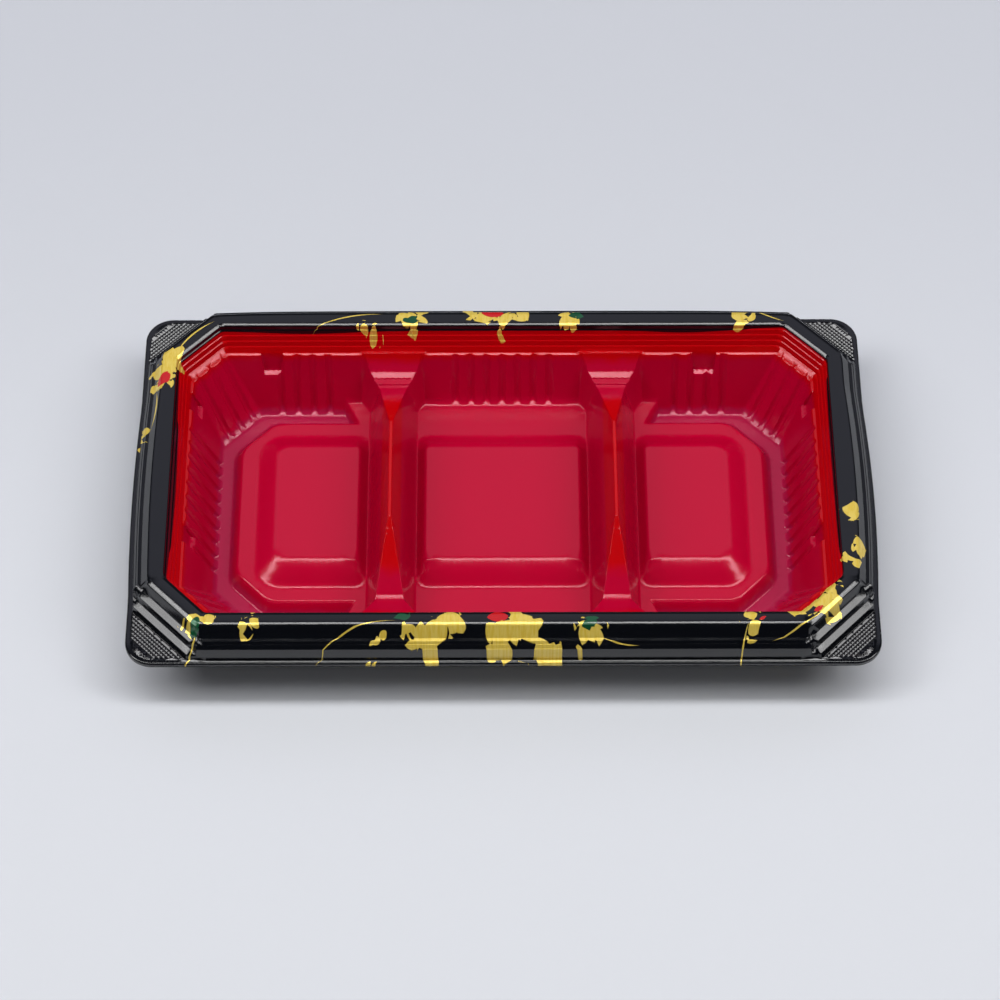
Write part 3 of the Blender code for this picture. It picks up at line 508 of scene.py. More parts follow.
def face_height(x, y):
    """Height of the tray's upper face."""
    end, side, corner = insets(x, y)
    straight_inset, corner_inset = rim_insets(x, y)
    skirts = np.interp(straight_inset, *SIDE_SKIRT), np.interp(corner_inset, *CORNER_SKIRT)
    ribs = np.maximum(np.interp(straight_inset, *RIB_WALL), np.interp(corner_inset, *CORNER_RIB_WALL))
    walls = wall_heights(x, y, end, side, corner)
    above_fan = unit((y - FAN_TOP_Y) / FAN_BLEND_RUN)
    blend = DIVIDER_BLEND + FAN_BLEND * above_fan
    bowl = smooth_max(smooth_min(ribs, walls, LEDGE_BLEND), divider_height(x, y), blend)
    floor = smooth_max(floor_height(x, y), heel_height(x, side, corner), HEEL_BLEND)
    from_divider = unit((np.abs(np.abs(x) - DIVIDER_X) - CORNER_FROM) / CORNER_OVER)
    inner = smooth_max(bowl, floor, FLOOR_BLEND + FLOOR_CORNER_BLEND * from_divider)
    for middle_y in END_NOTCHES_Y:
        inner = smooth_min(inner, notch_height(y, end, middle_y, END_NOTCH), NOTCH_BLEND)
    for middle_x, width in ((RIGHT_NOTCH_X, RIGHT_NOTCH), (LEFT_NOTCH_X, LEFT_NOTCH)):
        inner = smooth_min(inner, notch_height(x, side, middle_x, width), NOTCH_BLEND)
    return np.minimum(np.minimum(*skirts), inner)


def edge_inset(x, y):
    """How far in from the flange's outer edge a place is."""
    end_bow, side_bow = bows(x, y)
    return -rounded_box(x, y, LENGTH / 2 + end_bow, WIDTH / 2 + side_bow, FLANGE_RADIUS)


def lip_drop(x, y):
    """How far the flange's edge is bevelled and rounded down."""
    inset = edge_inset(x, y)
    left = LIP - np.clip(inset, 0.0, LIP)
    bevel = FLANGE_BEVEL_FALL * (1.0 - unit((inset - LIP) / FLANGE_BEVEL))
    return LIP - np.sqrt(LIP * LIP - left * left) + bevel


def knurled(x, y):
    """Whether a place lies in the knurl of a corner tab, clear of the crescent and the lip."""
    _, _, corner = insets(x, y)
    clear = (-corner > CORNER_FOOT + KNURL_GAP) & (edge_inset(x, y) > LIP + FLANGE_BEVEL + KNURL_EDGE_GAP)
    return clear & (crescent_height(x, y) < KNURL_CLEAR)


def crescent_height(x, y):
    """Height of the raised crescent round a corner tab."""
    across, up = np.abs(x), np.abs(y)
    inset = edge_inset(x, y)
    off_x, off_y = across - LENGTH / 2 + FLANGE_RADIUS, up - WIDTH / 2 + FLANGE_RADIUS
    angle = np.arctan2(off_y, off_x)
    swing = unit(1.0 - ((angle - math.pi / 4) / CRESCENT_SWING) ** 2)
    share = (inset - CRESCENT_INSET) / np.maximum(CRESCENT * swing, 0.05)
    wedge = unit(np.minimum(share / CRESCENT_TOP, (1.0 - share) / (1.0 - CRESCENT_TOP)))
    return CRESCENT_HEIGHT * np.where(swing > 0, wedge, 0.0) * swing


def tab_relief(x, y):
    """Height of the knurl and of the raised crescent in the corner tabs."""
    across, up = np.abs(x), np.abs(y)
    knurl_u, knurl_v = (across + up) / ROOT_TWO, (across - up) / ROOT_TWO
    peaks = (np.cos(2 * math.pi * knurl_u / KNURL_PITCH) + np.cos(2 * math.pi * knurl_v / KNURL_PITCH)) / 2
    return crescent_height(x, y) + np.where(knurled(x, y), KNURL_HEIGHT * peaks, 0.0)


def tray_height(x, y):
    """Height of the upper face with its tabs and rounded lip."""
    return face_height(x, y) + tab_relief(x, y) - lip_drop(x, y)


def under_height(x, y, depth):
    """Height of the face that lies a depth inside the shell: a ball of that radius rolled below."""
    lowest = face_height(x, y) - depth
    for share, count in BALL_RINGS:
        radius = depth * share
        drop = math.sqrt(depth * depth - radius * radius)
        for k in range(count):
            angle = 2 * math.pi * (k + share) / count
            near = face_height(x + radius * math.cos(angle), y + radius * math.sin(angle))
            lowest = np.minimum(lowest, near - drop)
    lowest = np.maximum(lowest, -HEIGHT)
    border = unit(edge_inset(x, y) / depth)
    return np.where(border < 1.0, np.minimum(lowest, -FLANGE_DEPTH - LIP * (1 - border) - depth), lowest)


def inset_of(x, y):
    """How far inside the opening a place is, with its corners rounded."""
    return np.minimum(*rim_insets(x, y))


def normals_of(height, x, y, step=0.004):
    """Unit normals of a height function."""
    slope_x = (height(x + step, y) - height(x - step, y)) / (2 * step)
    slope_y = (height(x, y + step) - height(x, y - step)) / (2 * step)
    found = np.stack([-slope_x, -slope_y, np.ones_like(x)], axis=1)
    return found / np.linalg.norm(found, axis=1)[:, None]


def opening_corners(side_inset, corner_inset):
    """The two ends of the chamfer in the first quarter, from its sides' insets."""
    half_x, half_y = OPENING_X - side_inset, OPENING_Y - side_inset
    reach = OPENING_X + OPENING_Y - OPENING_CHAMFER - ROOT_TWO * corner_inset
    return (half_x, reach - half_x), (reach - half_y, half_y)


def stretch(start, end, spacing, close=()):
    """Points along a straight line, closer together near its ends."""
    start, end = np.array(start), np.array(end)
    length = float(np.hypot(*(end - start)))
    near = [offset for offset in close if offset < length * 0.45]
    first = near[-1] if near else 0.0
    count = max(1, round((length - 2 * first) / spacing))
    between = np.linspace(first, length - first, count + 1)
    places = sorted({0.0, length, *near, *(length - offset for offset in near), *between.tolist()})
    return [tuple(start + (end - start) * place / length) for place in places]


class Plan:
    """Points and lines in plan, and the triangles between them."""

    def __init__(self):
        self.points, self.index, self.edges = [], {}, set()
        self.colour_loop = []

    def vertex(self, point):
        key = (round(float(point[0]), 3), round(float(point[1]), 3))
        if key not in self.index:
            self.index[key] = len(self.points)
            self.points.append((float(point[0]), float(point[1])))
        return self.index[key]

    def edge(self, a, b):
        self.edges.add((min(a, b), max(a, b)))

    def line(self, points):
        numbers = [self.vertex(point) for point in points]
        for a, b in zip(numbers, numbers[1:]):
            if a != b:
                self.edge(a, b)

    def row(self, points):
        """A line that follows the rim's bulge."""
        self.line([bowed(x, y) for x, y in points])

    def quarters(self, points):
        for sx, sy in QUARTERS:
            self.row([(x * sx, y * sy) for x, y in points])

    def chamfers(self, ends, spacing, close=()):
        """A row along each chamfer, from its two ends in the first quarter."""
        self.quarters(stretch(*ends, spacing, close))

    def straights(self, ends, spacing, close=()):
        """A row along each end and long side, between the chamfers with these ends."""
        (x0, y0), (x1, y1) = ends
        for s in (1, -1):
            self.row(stretch((s * x0, -y0), (s * x0, y0), spacing, close))
            self.row(stretch((-x1, s * y1), (x1, s * y1), spacing, close))

    def filled(self):
        """Points, upward triangles, and which of these lie inside the colour line."""
        inside_constraints, epsilon = 1, 1e-5
        flat = [Vector(point) for point in self.points]
        spots, _, faces, _, _, within = delaunay_2d_cdt(
            flat, sorted(self.edges), [self.colour_loop], inside_constraints, epsilon
        )
        points, faces = np.array([tuple(spot) for spot in spots]), np.array(faces)
        lined = np.array([bool(numbers) for numbers in within])
        a, b, c = (points[faces[:, k]] for k in range(3))
        area = (b - a)[:, 0] * (c - a)[:, 1] - (b - a)[:, 1] * (c - a)[:, 0]
        faces[area < 0] = faces[area < 0][:, ::-1]
        return points, faces, lined


def skirt_rows(plan):
    """Lines along the skirt's steps, which meet in a mitre at each end of a chamfer."""
    side_places, side_heights = (values[1:-1] for values in SIDE_SKIRT)
    corner_places, corner_heights = (values[1:-1] for values in CORNER_SKIRT)

    def mitre(height):
        side = np.interp(height, side_heights, side_places)
        corner = np.interp(height, corner_heights, corner_places)
        return opening_corners(side, corner)

    heights = sorted({*side_heights.tolist(), *corner_heights.tolist()})
    for k in (0, 1):
        plan.quarters([mitre(height)[k] for height in heights])
    for height in side_heights:
        plan.straights(mitre(height), ROW_SPACING, CORNER_SPACING)
    for height in corner_heights:
        plan.chamfers(mitre(height), ROW_SPACING, CORNER_SPACING)


def rib_rows(plan):
    """Lines round the opening along the steps of the ribbed wall."""
    for inset, corner_inset in zip(RIB_WALL[0][1:-1], CORNER_RIB_WALL[0][1:-1]):
        if inset > EDGE_RUN:
            break
        plan.chamfers(opening_corners(corner_inset, corner_inset), ROW_SPACING, CORNER_SPACING)
        plan.straights(opening_corners(inset, inset), ROW_SPACING, CORNER_SPACING)


def inner_rows(plan):
    """Lines along the ledge and along the heel at the foot of the walls."""
    for inset in LEDGE_LINES:
        plan.chamfers(opening_corners(inset, inset), FOOT_SPACING)
        plan.straights(opening_corners(inset, inset), FOOT_SPACING)
    for beyond in FOOT_LINES:
        ends = opening_corners(EDGE_RUN + WALL_RUN + beyond, EDGE_RUN + CORNER_RUN + beyond)
        plan.chamfers(ends, FOOT_SPACING)
        (x0, y0), (x1, y1) = ends
        centre_y = EDGE_Y - CENTRE_WALL_RUN - beyond
        for s in (1, -1):
            plan.row(stretch((s * x0, -y0), (s * x0, y0), FOOT_SPACING))
            plan.row(stretch((-CENTRE_FOOT, s * centre_y), (CENTRE_FOOT, s * centre_y), FOOT_SPACING))
            for t in (1, -1):
                plan.row(stretch((t * CHANNEL_END_X, s * y1), (t * x1, s * y1), FOOT_SPACING))


def lip_rows(plan):
    """Lines round the flange's edge."""
    for share in LIP_ROWS:
        inset = LIP * share
        x, y, radius = LENGTH / 2 - inset, WIDTH / 2 - inset, FLANGE_RADIUS - inset
        plan.straights(((x, y - radius), (x - radius, y)), ROW_SPACING)
        turns = np.linspace(0, math.pi / 2, LIP_TURNS)
        x, y = x - radius, y - radius
        plan.quarters([(x + radius * math.cos(a), y + radius * math.sin(a)) for a in turns])


def tab_points(plan):
    """Points of the corner tabs, on a grid that holds the knurl's peaks and hollows."""
    spacing = KNURL_PITCH / 2
    reach = (OPENING_X + OPENING_Y - OPENING_CHAMFER) / ROOT_TWO + CORNER_FOOT
    first = math.ceil((reach + TAB_GAP) / spacing)
    cells = [(i, j) for i in range(first, first + TAB_ROWS) for j in range(*TAB_COLUMNS)]
    grid = [(i, j) for i, j in cells if (i + j) % 2 == 0]
    u, v = np.array(grid).T * spacing
    x, y = (u + v) / ROOT_TWO, (u - v) / ROOT_TWO
    inside = (edge_inset(x, y) > LIP + FLANGE_BEVEL + TAB_EDGE_GAP) & (x > 0) & (y > 0)
    spots = {cell: spot for cell, spot, held in zip(grid, zip(x, y), inside) if held}
    for sx, sy in QUARTERS:
        for (i, j), (px, py) in spots.items():
            plan.vertex((px * sx, py * sy))
            for end in (spots.get((i + 2, j)), spots.get((i, j + 2))):
                if i % 2 and end:
                    plan.line([(px * sx, py * sy), (end[0] * sx, end[1] * sy)])


def seed_points(plan, spacing):
    """A triangular grid of points inside the ledge."""
    rows, columns = int(2 * OPENING_Y / spacing), int(OPENING_X / spacing)
    for j in range(-rows, rows):
        for i in range(-columns, columns + 1):
            x, y = (i + 0.5 * (j % 2)) * spacing, j * spacing * SEED_ROW
            if inset_of(x, y) > SEED_INSET:
                plan.vertex((x, y))


def colour_line_depth(x, y):
    """Depth of the lining's printed edge on the ribbed wall, which wanders round the tray."""
    depth = COLOUR_LINE
    for bump_x, bump_y, spread, more in COLOUR_SWELLS:
        depth = depth + more * np.exp(-((x - bump_x) ** 2 + (y - bump_y) ** 2) / spread**2)
    return depth


def colour_line(plan):
    """The lining's edge, drawn as a closed line that is moved in or out to its depth."""
    (x0, y0), (x1, y1) = opening_corners(1.0, 1.0)
    sides = [((x0, -y0), (x0, y0)), ((x0, y0), (x1, y1)), ((x1, y1), (-x1, y1)), ((-x1, y1), (-x0, y0))]
    sides += [((-x, -y), (-u, -v)) for (x, y), (u, v) in sides]
    depths, places = -RIB_WALL[1][1:-1], RIB_WALL[0][1:-1]
    numbers = []
    for start, end in sides:
        for x, y in stretch(start, end, COLOUR_SPACING, COLOUR_CORNER_SPACING)[:-1]:
            inset = float(np.interp(colour_line_depth(x, y), depths, places))
            for _ in range(3):
                (slope_x, slope_y), gap = inward(x, y), inset - inset_of(x, y)
                x, y = x + gap * slope_x, y + gap * slope_y
            numbers.append(plan.vertex((x, y)))
    plan.colour_loop = numbers
    for a, b in zip(numbers, numbers[1:] + numbers[:1]):
        plan.edge(a, b)


def inward(x, y, step=0.02):
    """Unit direction in plan towards the inside of the opening."""
    slope_x = inset_of(x + step, y) - inset_of(x - step, y)
    slope_y = inset_of(x, y + step) - inset_of(x, y - step)
    slope = np.array((slope_x, slope_y))
    return slope / np.hypot(*slope)


def drawn_plan(tolerance, smallest, seed_spacing, detailed):
    """The tray's plan, with points added until the triangles follow the face to a tolerance."""
    plan = Plan()
    lip_rows(plan)
    skirt_rows(plan)
    rib_rows(plan)
    colour_line(plan)
    if detailed:
        tab_points(plan)
        inner_rows(plan)
    seed_points(plan, seed_spacing)
    for _ in range(REFINEMENTS):
        points, faces, _ = plan.filled()
        pairs = np.concatenate([faces[:, [0, 1]], faces[:, [1, 2]], faces[:, [2, 0]]])
        pairs = np.unique(np.sort(pairs, axis=1), axis=0)
        start, end = points[pairs[:, 0]], points[pairs[:, 1]]
        inner = inset_of(*((start + end) / 2).T) > REFINED_INSET
        chosen = inner & (np.hypot(*(end - start).T) > 2 * smallest)
        start, end = start[chosen], end[chosen]
        middle = (start + end) / 2
        sag = np.abs(tray_height(*middle.T) - (tray_height(*start.T) + tray_height(*end.T)) / 2)
        upright = normals_of(tray_height, *middle.T)[:, 2]
        wanting = middle[sag * upright > tolerance]
        if not len(wanting):
            break
        for point in wanting:
            plan.vertex(point)
    return plan.filled()


class Shell:
    """Faces gathered from several layers into one closed mesh."""

    def __init__(self):
        self.places, self.normals, self.faces = [], [], []

    def add(self, points, heights, normals, faces):
        """Adds a layer's faces, and returns the new number of each of its points."""
        used, numbers = np.unique(faces, return_inverse=True)
        first = len(self.places)
        for k in used:
            self.places.append((*points[k], heights[k]))
            self.normals.append(normals[k])
        self.faces += (numbers.reshape(faces.shape) + first).tolist()
        return {tuple(np.round(points[k], 3)): first + n for n, k in enumerate(used)}

    def band(self, upper, lower, edges):
        for a, b in edges:
            if a in upper and b in upper and a in lower and b in lower:
                self.faces.append([upper[b], upper[a], lower[a], lower[b]])

    def to_object(self, name, material):
        mesh = bpy.data.meshes.new(name)
        places = np.array(self.places)
        faceted = knurled(*places[:, :2].T) & (places[:, 2] > -FLANGE_DEPTH - 2 * KNURL_HEIGHT)
        places[:, 2] += HEIGHT
        mesh.from_pydata((places * MM).tolist(), [], self.faces)
        mesh.materials.append(material)
        flat = np.array([bool(faceted[face].any()) for face in self.faces])
        mesh.polygons.foreach_set("use_smooth", (~flat).tolist())
        vertex_of = np.empty(len(mesh.loops), dtype=int)
        mesh.loops.foreach_get("vertex_index", vertex_of)
        face_of = np.repeat(np.arange(len(self.faces)), [len(face) for face in self.faces])
        across = np.empty(3 * len(self.faces))
        mesh.polygons.foreach_get("normal", across)
        smooth = np.array(self.normals)[vertex_of]
        corners = np.where(flat[face_of][:, None], across.reshape(-1, 3)[face_of], smooth)
        mesh.normals_split_custom_set(corners.tolist())
        made = bpy.data.objects.new(name, mesh)
        bpy.context.scene.collection.objects.link(made)
        return made


def open_edges(points, faces):
    """The directed open edges of a patch, as pairs of plan places."""
    directed = {(int(a), int(b)) for f in faces for a, b in zip(f, np.roll(f, -1))}
    ends = [edge for edge in directed if edge[::-1] not in directed]
    return [tuple(tuple(np.round(points[k], 3)) for k in edge) for edge in ends]


PLANS = {}


def plans():
    """The fine plan of the upper face and the coarse one of the hidden faces, drawn once."""
    if not PLANS:
        fine, coarse = ((FINE_PLAN, COARSE_PLAN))
        PLANS["fine"] = drawn_plan(*fine, FINE_SEEDS, True)
        PLANS["coarse"] = drawn_plan(*coarse, COARSE_SEEDS, False)
    return PLANS["fine"], PLANS["coarse"]


def face_normals(places, faces):
    """Normals at the points of a layer, averaged over the faces round each."""
    a, b, c = (places[faces[:, k]] for k in range(3))
    across = np.cross(b - a, c - a)
    summed = np.zeros_like(places)
    for k in range(3):
        np.add.at(summed, faces[:, k], across)
    return summed / np.maximum(np.linalg.norm(summed, axis=1), 1e-9)[:, None]


def started_shell(inside):
    """A shell with the tray's face inside or beyond the colour line, its points and its open edges."""
    points, faces, lined = plans()[0]
    top = faces[lined == inside]
    shell = Shell()
    upper = shell.add(points, tray_height(*points.T), normals_of(tray_height, *points.T), top)
    return shell, upper, open_edges(points, top)


def add_hidden(shell, depth, upward, whole=False):
    """Adds the face that lies a depth inside the shell, under the film or under the whole tray."""
    points, faces, lined = plans()[1]
    heights = under_height(*points.T, depth)
    normals = face_normals(np.column_stack([points, heights]), faces)
    held = faces if whole else faces[lined]
    if upward:
        return shell.add(points, heights, normals, held)
    return shell.add(points, heights, -normals, held[:, ::-1])


def build_lining(scene):
    """The red film inside the colour line."""
    shell, upper, edges = started_shell(True)
    shell.band(upper, add_hidden(shell, FILM, upward=False), edges)
    return shell.to_object("tray_lining", lining_material(scene))


def build_sheet(scene):
    """The black sheet: the rim beyond the colour line, the bed under the film, and the underside."""
    shell, upper, edges = started_shell(False)
    bed = add_hidden(shell, BED, upward=True)
    back = add_hidden(shell, SHELL, upward=False, whole=True)
    shell.band(upper, {**bed, **back}, edges)
    return shell.to_object("tray_sheet", sheet_material(scene))


class Nodes:
    """A node tree, with a short call for each kind of node that the materials use."""

    def __init__(self, tree):
        self.nodes, self.links = tree.nodes, tree.links

    def feed(self, socket, value):
        """Links another socket to this one, or sets it to a plain value."""
        if isinstance(value, bpy.types.NodeSocket):
            self.links.new(value, socket)
        elif value is not None:
            socket.default_value = value

    def add(self, kind, *values, **settings):
        """A node with its settings, and with its inputs fed in order where a value isn't None."""
        node = self.nodes.new("ShaderNode" + kind)
        for name, value in settings.items():
            setattr(node, name, value)
        for socket, value in zip(node.inputs, values):
            self.feed(socket, value)
        return node

    def math(self, operation, *values, clamp=False):
        return self.add("Math", *values, operation=operation, use_clamp=clamp).outputs[0]

    def vector(self, operation, first, second):
        """A vector math node: the second value is a vector, or a number that scales."""
        values = (None, None, second) if operation == "SCALE" else (second,)
        return self.add("VectorMath", first, *values, operation=operation).outputs[0]

    def axes(self, vector):
        return self.add("SeparateXYZ", vector).outputs

    def span(self, value, start, end):
        """A smooth step from 0 at the start to 1 at the end."""
        return self.add("MapRange", value, start, end, interpolation_type="SMOOTHSTEP").outputs["Result"]

    def ramp(self, value, stops):
        """A smooth grey ramp over (place, level) stops."""
        node = self.add("ValToRGB", value)
        node.color_ramp.interpolation = "EASE"
        elements = node.color_ramp.elements
        while len(elements) < len(stops):
            elements.new(0.5)
        for element, (place, level) in zip(elements, stops):
            element.position = place
            element.color = (level, level, level, 1)
        return node.outputs["Color"]

    def noise(self, place, scale, detail=2.0, roughness=0.5):
        return self.add("TexNoise", place, None, scale, detail, roughness).outputs["Fac"]

    def mix(self, factor, first, second):
        """A mix of two colours, which are sockets or plain colours."""
        colours = ((*c, 1) if isinstance(c, tuple) else c for c in (first, second))
        return self.add("Mix", factor, *[None] * 5, *colours, data_type="RGBA").outputs[2]

    def group(self, tree, *values):
        return self.add("Group", *values, node_tree=tree).outputs


def new_material(name):
    material = bpy.data.materials.new(name)
    material.use_nodes = True
    tree = Nodes(material.node_tree)
    return material, tree, tree.nodes["Principled BSDF"]


def node_group(name, inputs, outputs):
    """An empty shader node group, with its inputs' outlets and its outputs' inlets."""
    group = bpy.data.node_groups.new(name, "ShaderNodeTree")
    for way, sockets in (("INPUT", inputs), ("OUTPUT", outputs)):
        for label, kind in sockets:
            group.interface.new_socket(label, in_out=way, socket_type="NodeSocket" + kind)
    tree = Nodes(group)
    given, made = tree.nodes.new("NodeGroupInput"), tree.nodes.new("NodeGroupOutput")
    return group, tree, given.outputs, made.inputs


def mark_group(name, last):
    """An empty group for one mark of the print, which has a last input of its own."""
    floats = [(label, "Float") for label in ("Turn", "Half Length", "Half Width", last)]
    return node_group(name, [("Place", "Vector"), ("Centre", "Vector"), *floats], [("Mask", "Float")])


def local_axes(tree, place, given):
    """The two coordinates of a place along and across a turned mark."""
    offset = tree.vector("SUBTRACT", place, given["Centre"])
    spin = tree.add("VectorRotate", offset, None, None, given["Turn"], rotation_type="Z_AXIS")
    axes = tree.axes(spin.outputs[0])
    return axes["X"], axes["Y"]


def flake_group():
    """A torn leaf flake: an oval whose border is broken into shards."""
    group, tree, given, made = mark_group("leaf_flake", "Tear")
    shards = tree.add("TexVoronoi", given["Place"], None, TEAR_SCALE)
    shift = tree.vector("SUBTRACT", shards.outputs["Color"], (0.5, 0.5, 0.5))
    moved = tree.vector("ADD", given["Place"], tree.vector("SCALE", shift, given["Tear"]))
    shares = []
    halves = given["Half Length"], given["Half Width"]
    for axis, half, power in zip(local_axes(tree, moved, given), halves, FLAKE_ROUNDNESS):
        share = tree.math("ABSOLUTE", tree.math("DIVIDE", axis, half))
        shares.append(tree.math("POWER", share, power))
    clear = tree.math("SUBTRACT", 1.0, tree.math("ADD", *shares))
    tree.feed(made["Mask"], tree.math("MULTIPLY", clear, FLAKE_EDGE, clamp=True))
    return group


def thread_group():
    """A fine bent thread that tapers towards both ends."""
    group, tree, given, made = mark_group("leaf_thread", "Bend")
    along, across = local_axes(tree, given["Place"], given)
    share = tree.math("DIVIDE", along, given["Half Length"])
    square = tree.math("MULTIPLY", share, share)
    course = tree.math("MULTIPLY", square, given["Bend"])
    off = tree.math("ABSOLUTE", tree.math("SUBTRACT", across, course))
    reach = tree.math("MULTIPLY", tree.math("SUBTRACT", 1.0, square), given["Half Width"])
    clear = tree.math("SUBTRACT", reach, off)
    tree.feed(made["Mask"], tree.math("MULTIPLY", clear, THREAD_EDGE, clamp=True))
    return group


def scattered_flakes():
    """Flakes of every cluster, fanned out along it and each turned another way."""
    swing_phase, size_phase, turn_phase, turn_drift = FLAKE_PHASES
    marks = []
    for x, y, turn, reach, count, size in LEAF_CLUSTERS:
        cos, sin = math.cos(math.radians(turn)), math.sin(math.radians(turn))
        for k in range(count):
            share = (k + 0.5) / count * 2 - 1
            away, swing = reach * share, size * FLAKE_SWING * math.sin(swing_phase * k + x)
            place = x + away * cos - swing * sin, y + away * sin + swing * cos
            varied = 1.0 - FLAKE_VARIETY / 2 + FLAKE_VARIETY * math.sin(size_phase * k + y)
            half = size * (1.0 - FLAKE_SHRINK * abs(share)) * varied
            tilt = turn + FLAKE_TURN * math.sin(turn_phase * k + turn_drift * x)
            marks.append((*place, tilt, half, half * FLAKE_WIDTH, FLAKE_TEAR))
    return marks


def print_group():
    """The whole print in plan millimetres: gold leaf and threads, red seeds and green slivers."""
    labels = ("Gold", "Red", "Green")
    outputs = [(label, "Float") for label in labels]
    group, tree, given, made = node_group("leaf_print", [("Place", "Vector")], outputs)
    flake, thread = flake_group(), thread_group()
    gold = [(flake, mark) for mark in scattered_flakes()] + [(thread, mark) for mark in THREADS]
    red, green = ([(flake, mark) for mark in marks] for marks in (RED_SEEDS, GREEN_SLIVERS))
    for label, marks in zip(labels, (gold, red, green)):
        masks = []
        for shape, (x, y, turn, *sizes) in marks:
            turned = tree.group(shape, given["Place"], (x, y, 0), -math.radians(turn), *sizes)
            masks.append(turned["Mask"])
        joined = masks[0]
        for mask in masks[1:]:
            joined = tree.math("MAXIMUM", joined, mask)
        tree.feed(made[label], joined)
    return group


def film_group():
    """The formed film's own unevenness: cloudy gloss, slow waves and a fine grain."""
    inputs = (("Place", "Vector"), ("Gloss", "Float"), ("Waves", "Float"))
    outputs = (("Roughness", "Float"), ("Height", "Float"))
    group, tree, given, made = node_group("formed_film", inputs, outputs)
    place = given["Place"]
    clouds, patches = tree.noise(place, CLOUD_SCALE, 3.0), tree.noise(place, PATCH_SCALE)
    patches = tree.math("MULTIPLY", patches, PATCH_SHARE)
    uneven = tree.math("MULTIPLY_ADD", clouds, CLOUD_SHARE, patches)
    uneven = tree.math("ADD", uneven, EVEN_SHARE)
    tree.feed(made["Roughness"], tree.math("MULTIPLY", given["Gloss"], uneven))
    waves, grain = tree.noise(place, WAVE_SCALE, 1.0), tree.noise(place, GRAIN_SCALE)
    waves = tree.math("MULTIPLY", waves, given["Waves"])
    tree.feed(made["Height"], tree.math("MULTIPLY_ADD", grain, GRAIN_HEIGHT, waves))
    return group


def draw_sheen_shade_group():
    """How far a film has been drawn down at a place, below the ledge and down in the channels, as the mask
    of its painted sheen and painted shade.
    """
    outputs = (("Wall", "Float"), ("Channel", "Float"))
    group, tree, given, made = node_group("film_draw_sheen_shade", (("Place", "Vector"),), outputs)
    depth = tree.math("SUBTRACT", HEIGHT, tree.axes(given["Place"])["Z"])
    cloud = tree.noise(given["Place"], DRAW_SHEEN_SCALE, 3.0)
    wandering = tree.math("MULTIPLY_ADD", cloud, DRAW_SHEEN_WANDER, depth)
    for label, reach in (("Wall", WALL_DRAW_SHEEN), ("Channel", CHANNEL_DRAW_SHADE)):
        tree.feed(made[label], tree.span(wandering, *reach))
    return group


GROUPS = {}


def shared_group(build):
    """A node group that is built at its first use."""
    if build not in GROUPS:
        GROUPS[build] = build()
    return GROUPS[build]


def printed_material(name, plain, gloss, waves, drawn=None, deep=None):
    """A gloss film in its colours at rest and drawn down, where painted sheen and painted shade are laid,
    with the leaf print over them.
    """
    colours = bpy.context.scene.tray_colours
    material, tree, shader = new_material(name)
    place = tree.vector("SCALE", tree.add("TexCoord").outputs["Object"], 1 / MM)
    flat = tree.vector("MULTIPLY", place, (1, 1, 0))
    marks = tree.group(shared_group(print_group), flat)
    film = tree.group(shared_group(film_group), place, gloss, waves)
    strokes = tree.add("Mapping", flat, None, None, STROKE_STRETCH)
    streaks = tree.ramp(tree.noise(strokes.outputs[0], STROKE_SCALE, 3.0, 0.6), STROKE_LEVELS)
    gold = tree.mix(streaks, tuple(colours.deep_gold), tuple(colours.gold))
    # Below the ledge and in the channels the colour is painted with purple sheen and shade, on top of the
    # film's whitening where it is drawn
    if drawn:
        draw = tree.group(shared_group(draw_sheen_shade_group), place)
        plain = tree.mix(draw["Wall"], plain, drawn)
        plain = tree.mix(draw["Channel"], plain, deep)
    colour = tree.mix(marks["Gold"], plain, gold)
    colour = tree.mix(marks["Green"], colour, tuple(colours.green))
    tree.feed(shader.inputs["Base Color"], tree.mix(marks["Red"], colour, tuple(colours.seed)))
    metallic = tree.math("SUBTRACT", marks["Gold"], marks["Red"], clamp=True)
    tree.feed(shader.inputs["Metallic"], tree.math("MULTIPLY", metallic, LEAF_METAL))
    rough = tree.math("MULTIPLY_ADD", marks["Gold"], LEAF_ROUGHNESS, film["Roughness"])
    tree.feed(shader.inputs["Roughness"], rough)
    bump = tree.add("Bump")
    bump.inputs["Distance"].default_value = MM
    tree.feed(bump.inputs["Height"], film["Height"])
    tree.feed(shader.inputs["Normal"], bump.outputs["Normal"])
    return material, shader


def lining_material(scene):
    sizes, colours = scene.tray_sizes, scene.tray_colours
    # drawn and deep carry painted purple sheen and painted shade
    red, drawn, deep = (tuple(c) for c in (colours.lining, colours.sheened_drawn_lining, colours.shaded_deep_lining))
    gloss, waves = sizes.lining_gloss, sizes.lining_waves
    material, shader = printed_material("red_gloss_film", red, gloss, waves, drawn, deep)
    shader.inputs["IOR"].default_value = LINING_IOR
    shader.inputs["Specular IOR Level"].default_value = LINING_SPECULAR
    shader.inputs["Specular Tint"].default_value = LINING_TINT
    return material


def sheet_material(scene):
    sizes, black = scene.tray_sizes, tuple(scene.tray_colours.sheet)
    material, shader = printed_material("black_gloss_sheet", black, sizes.sheet_gloss, sizes.sheet_waves)
    shader.inputs["IOR"].default_value = SHEET_IOR
    shader.inputs["Specular IOR Level"].default_value = SHEET_SPECULAR
    return material


def size_property(name, description, default, **limits):
    return FloatProperty(name=name, description=description, default=default, **limits)


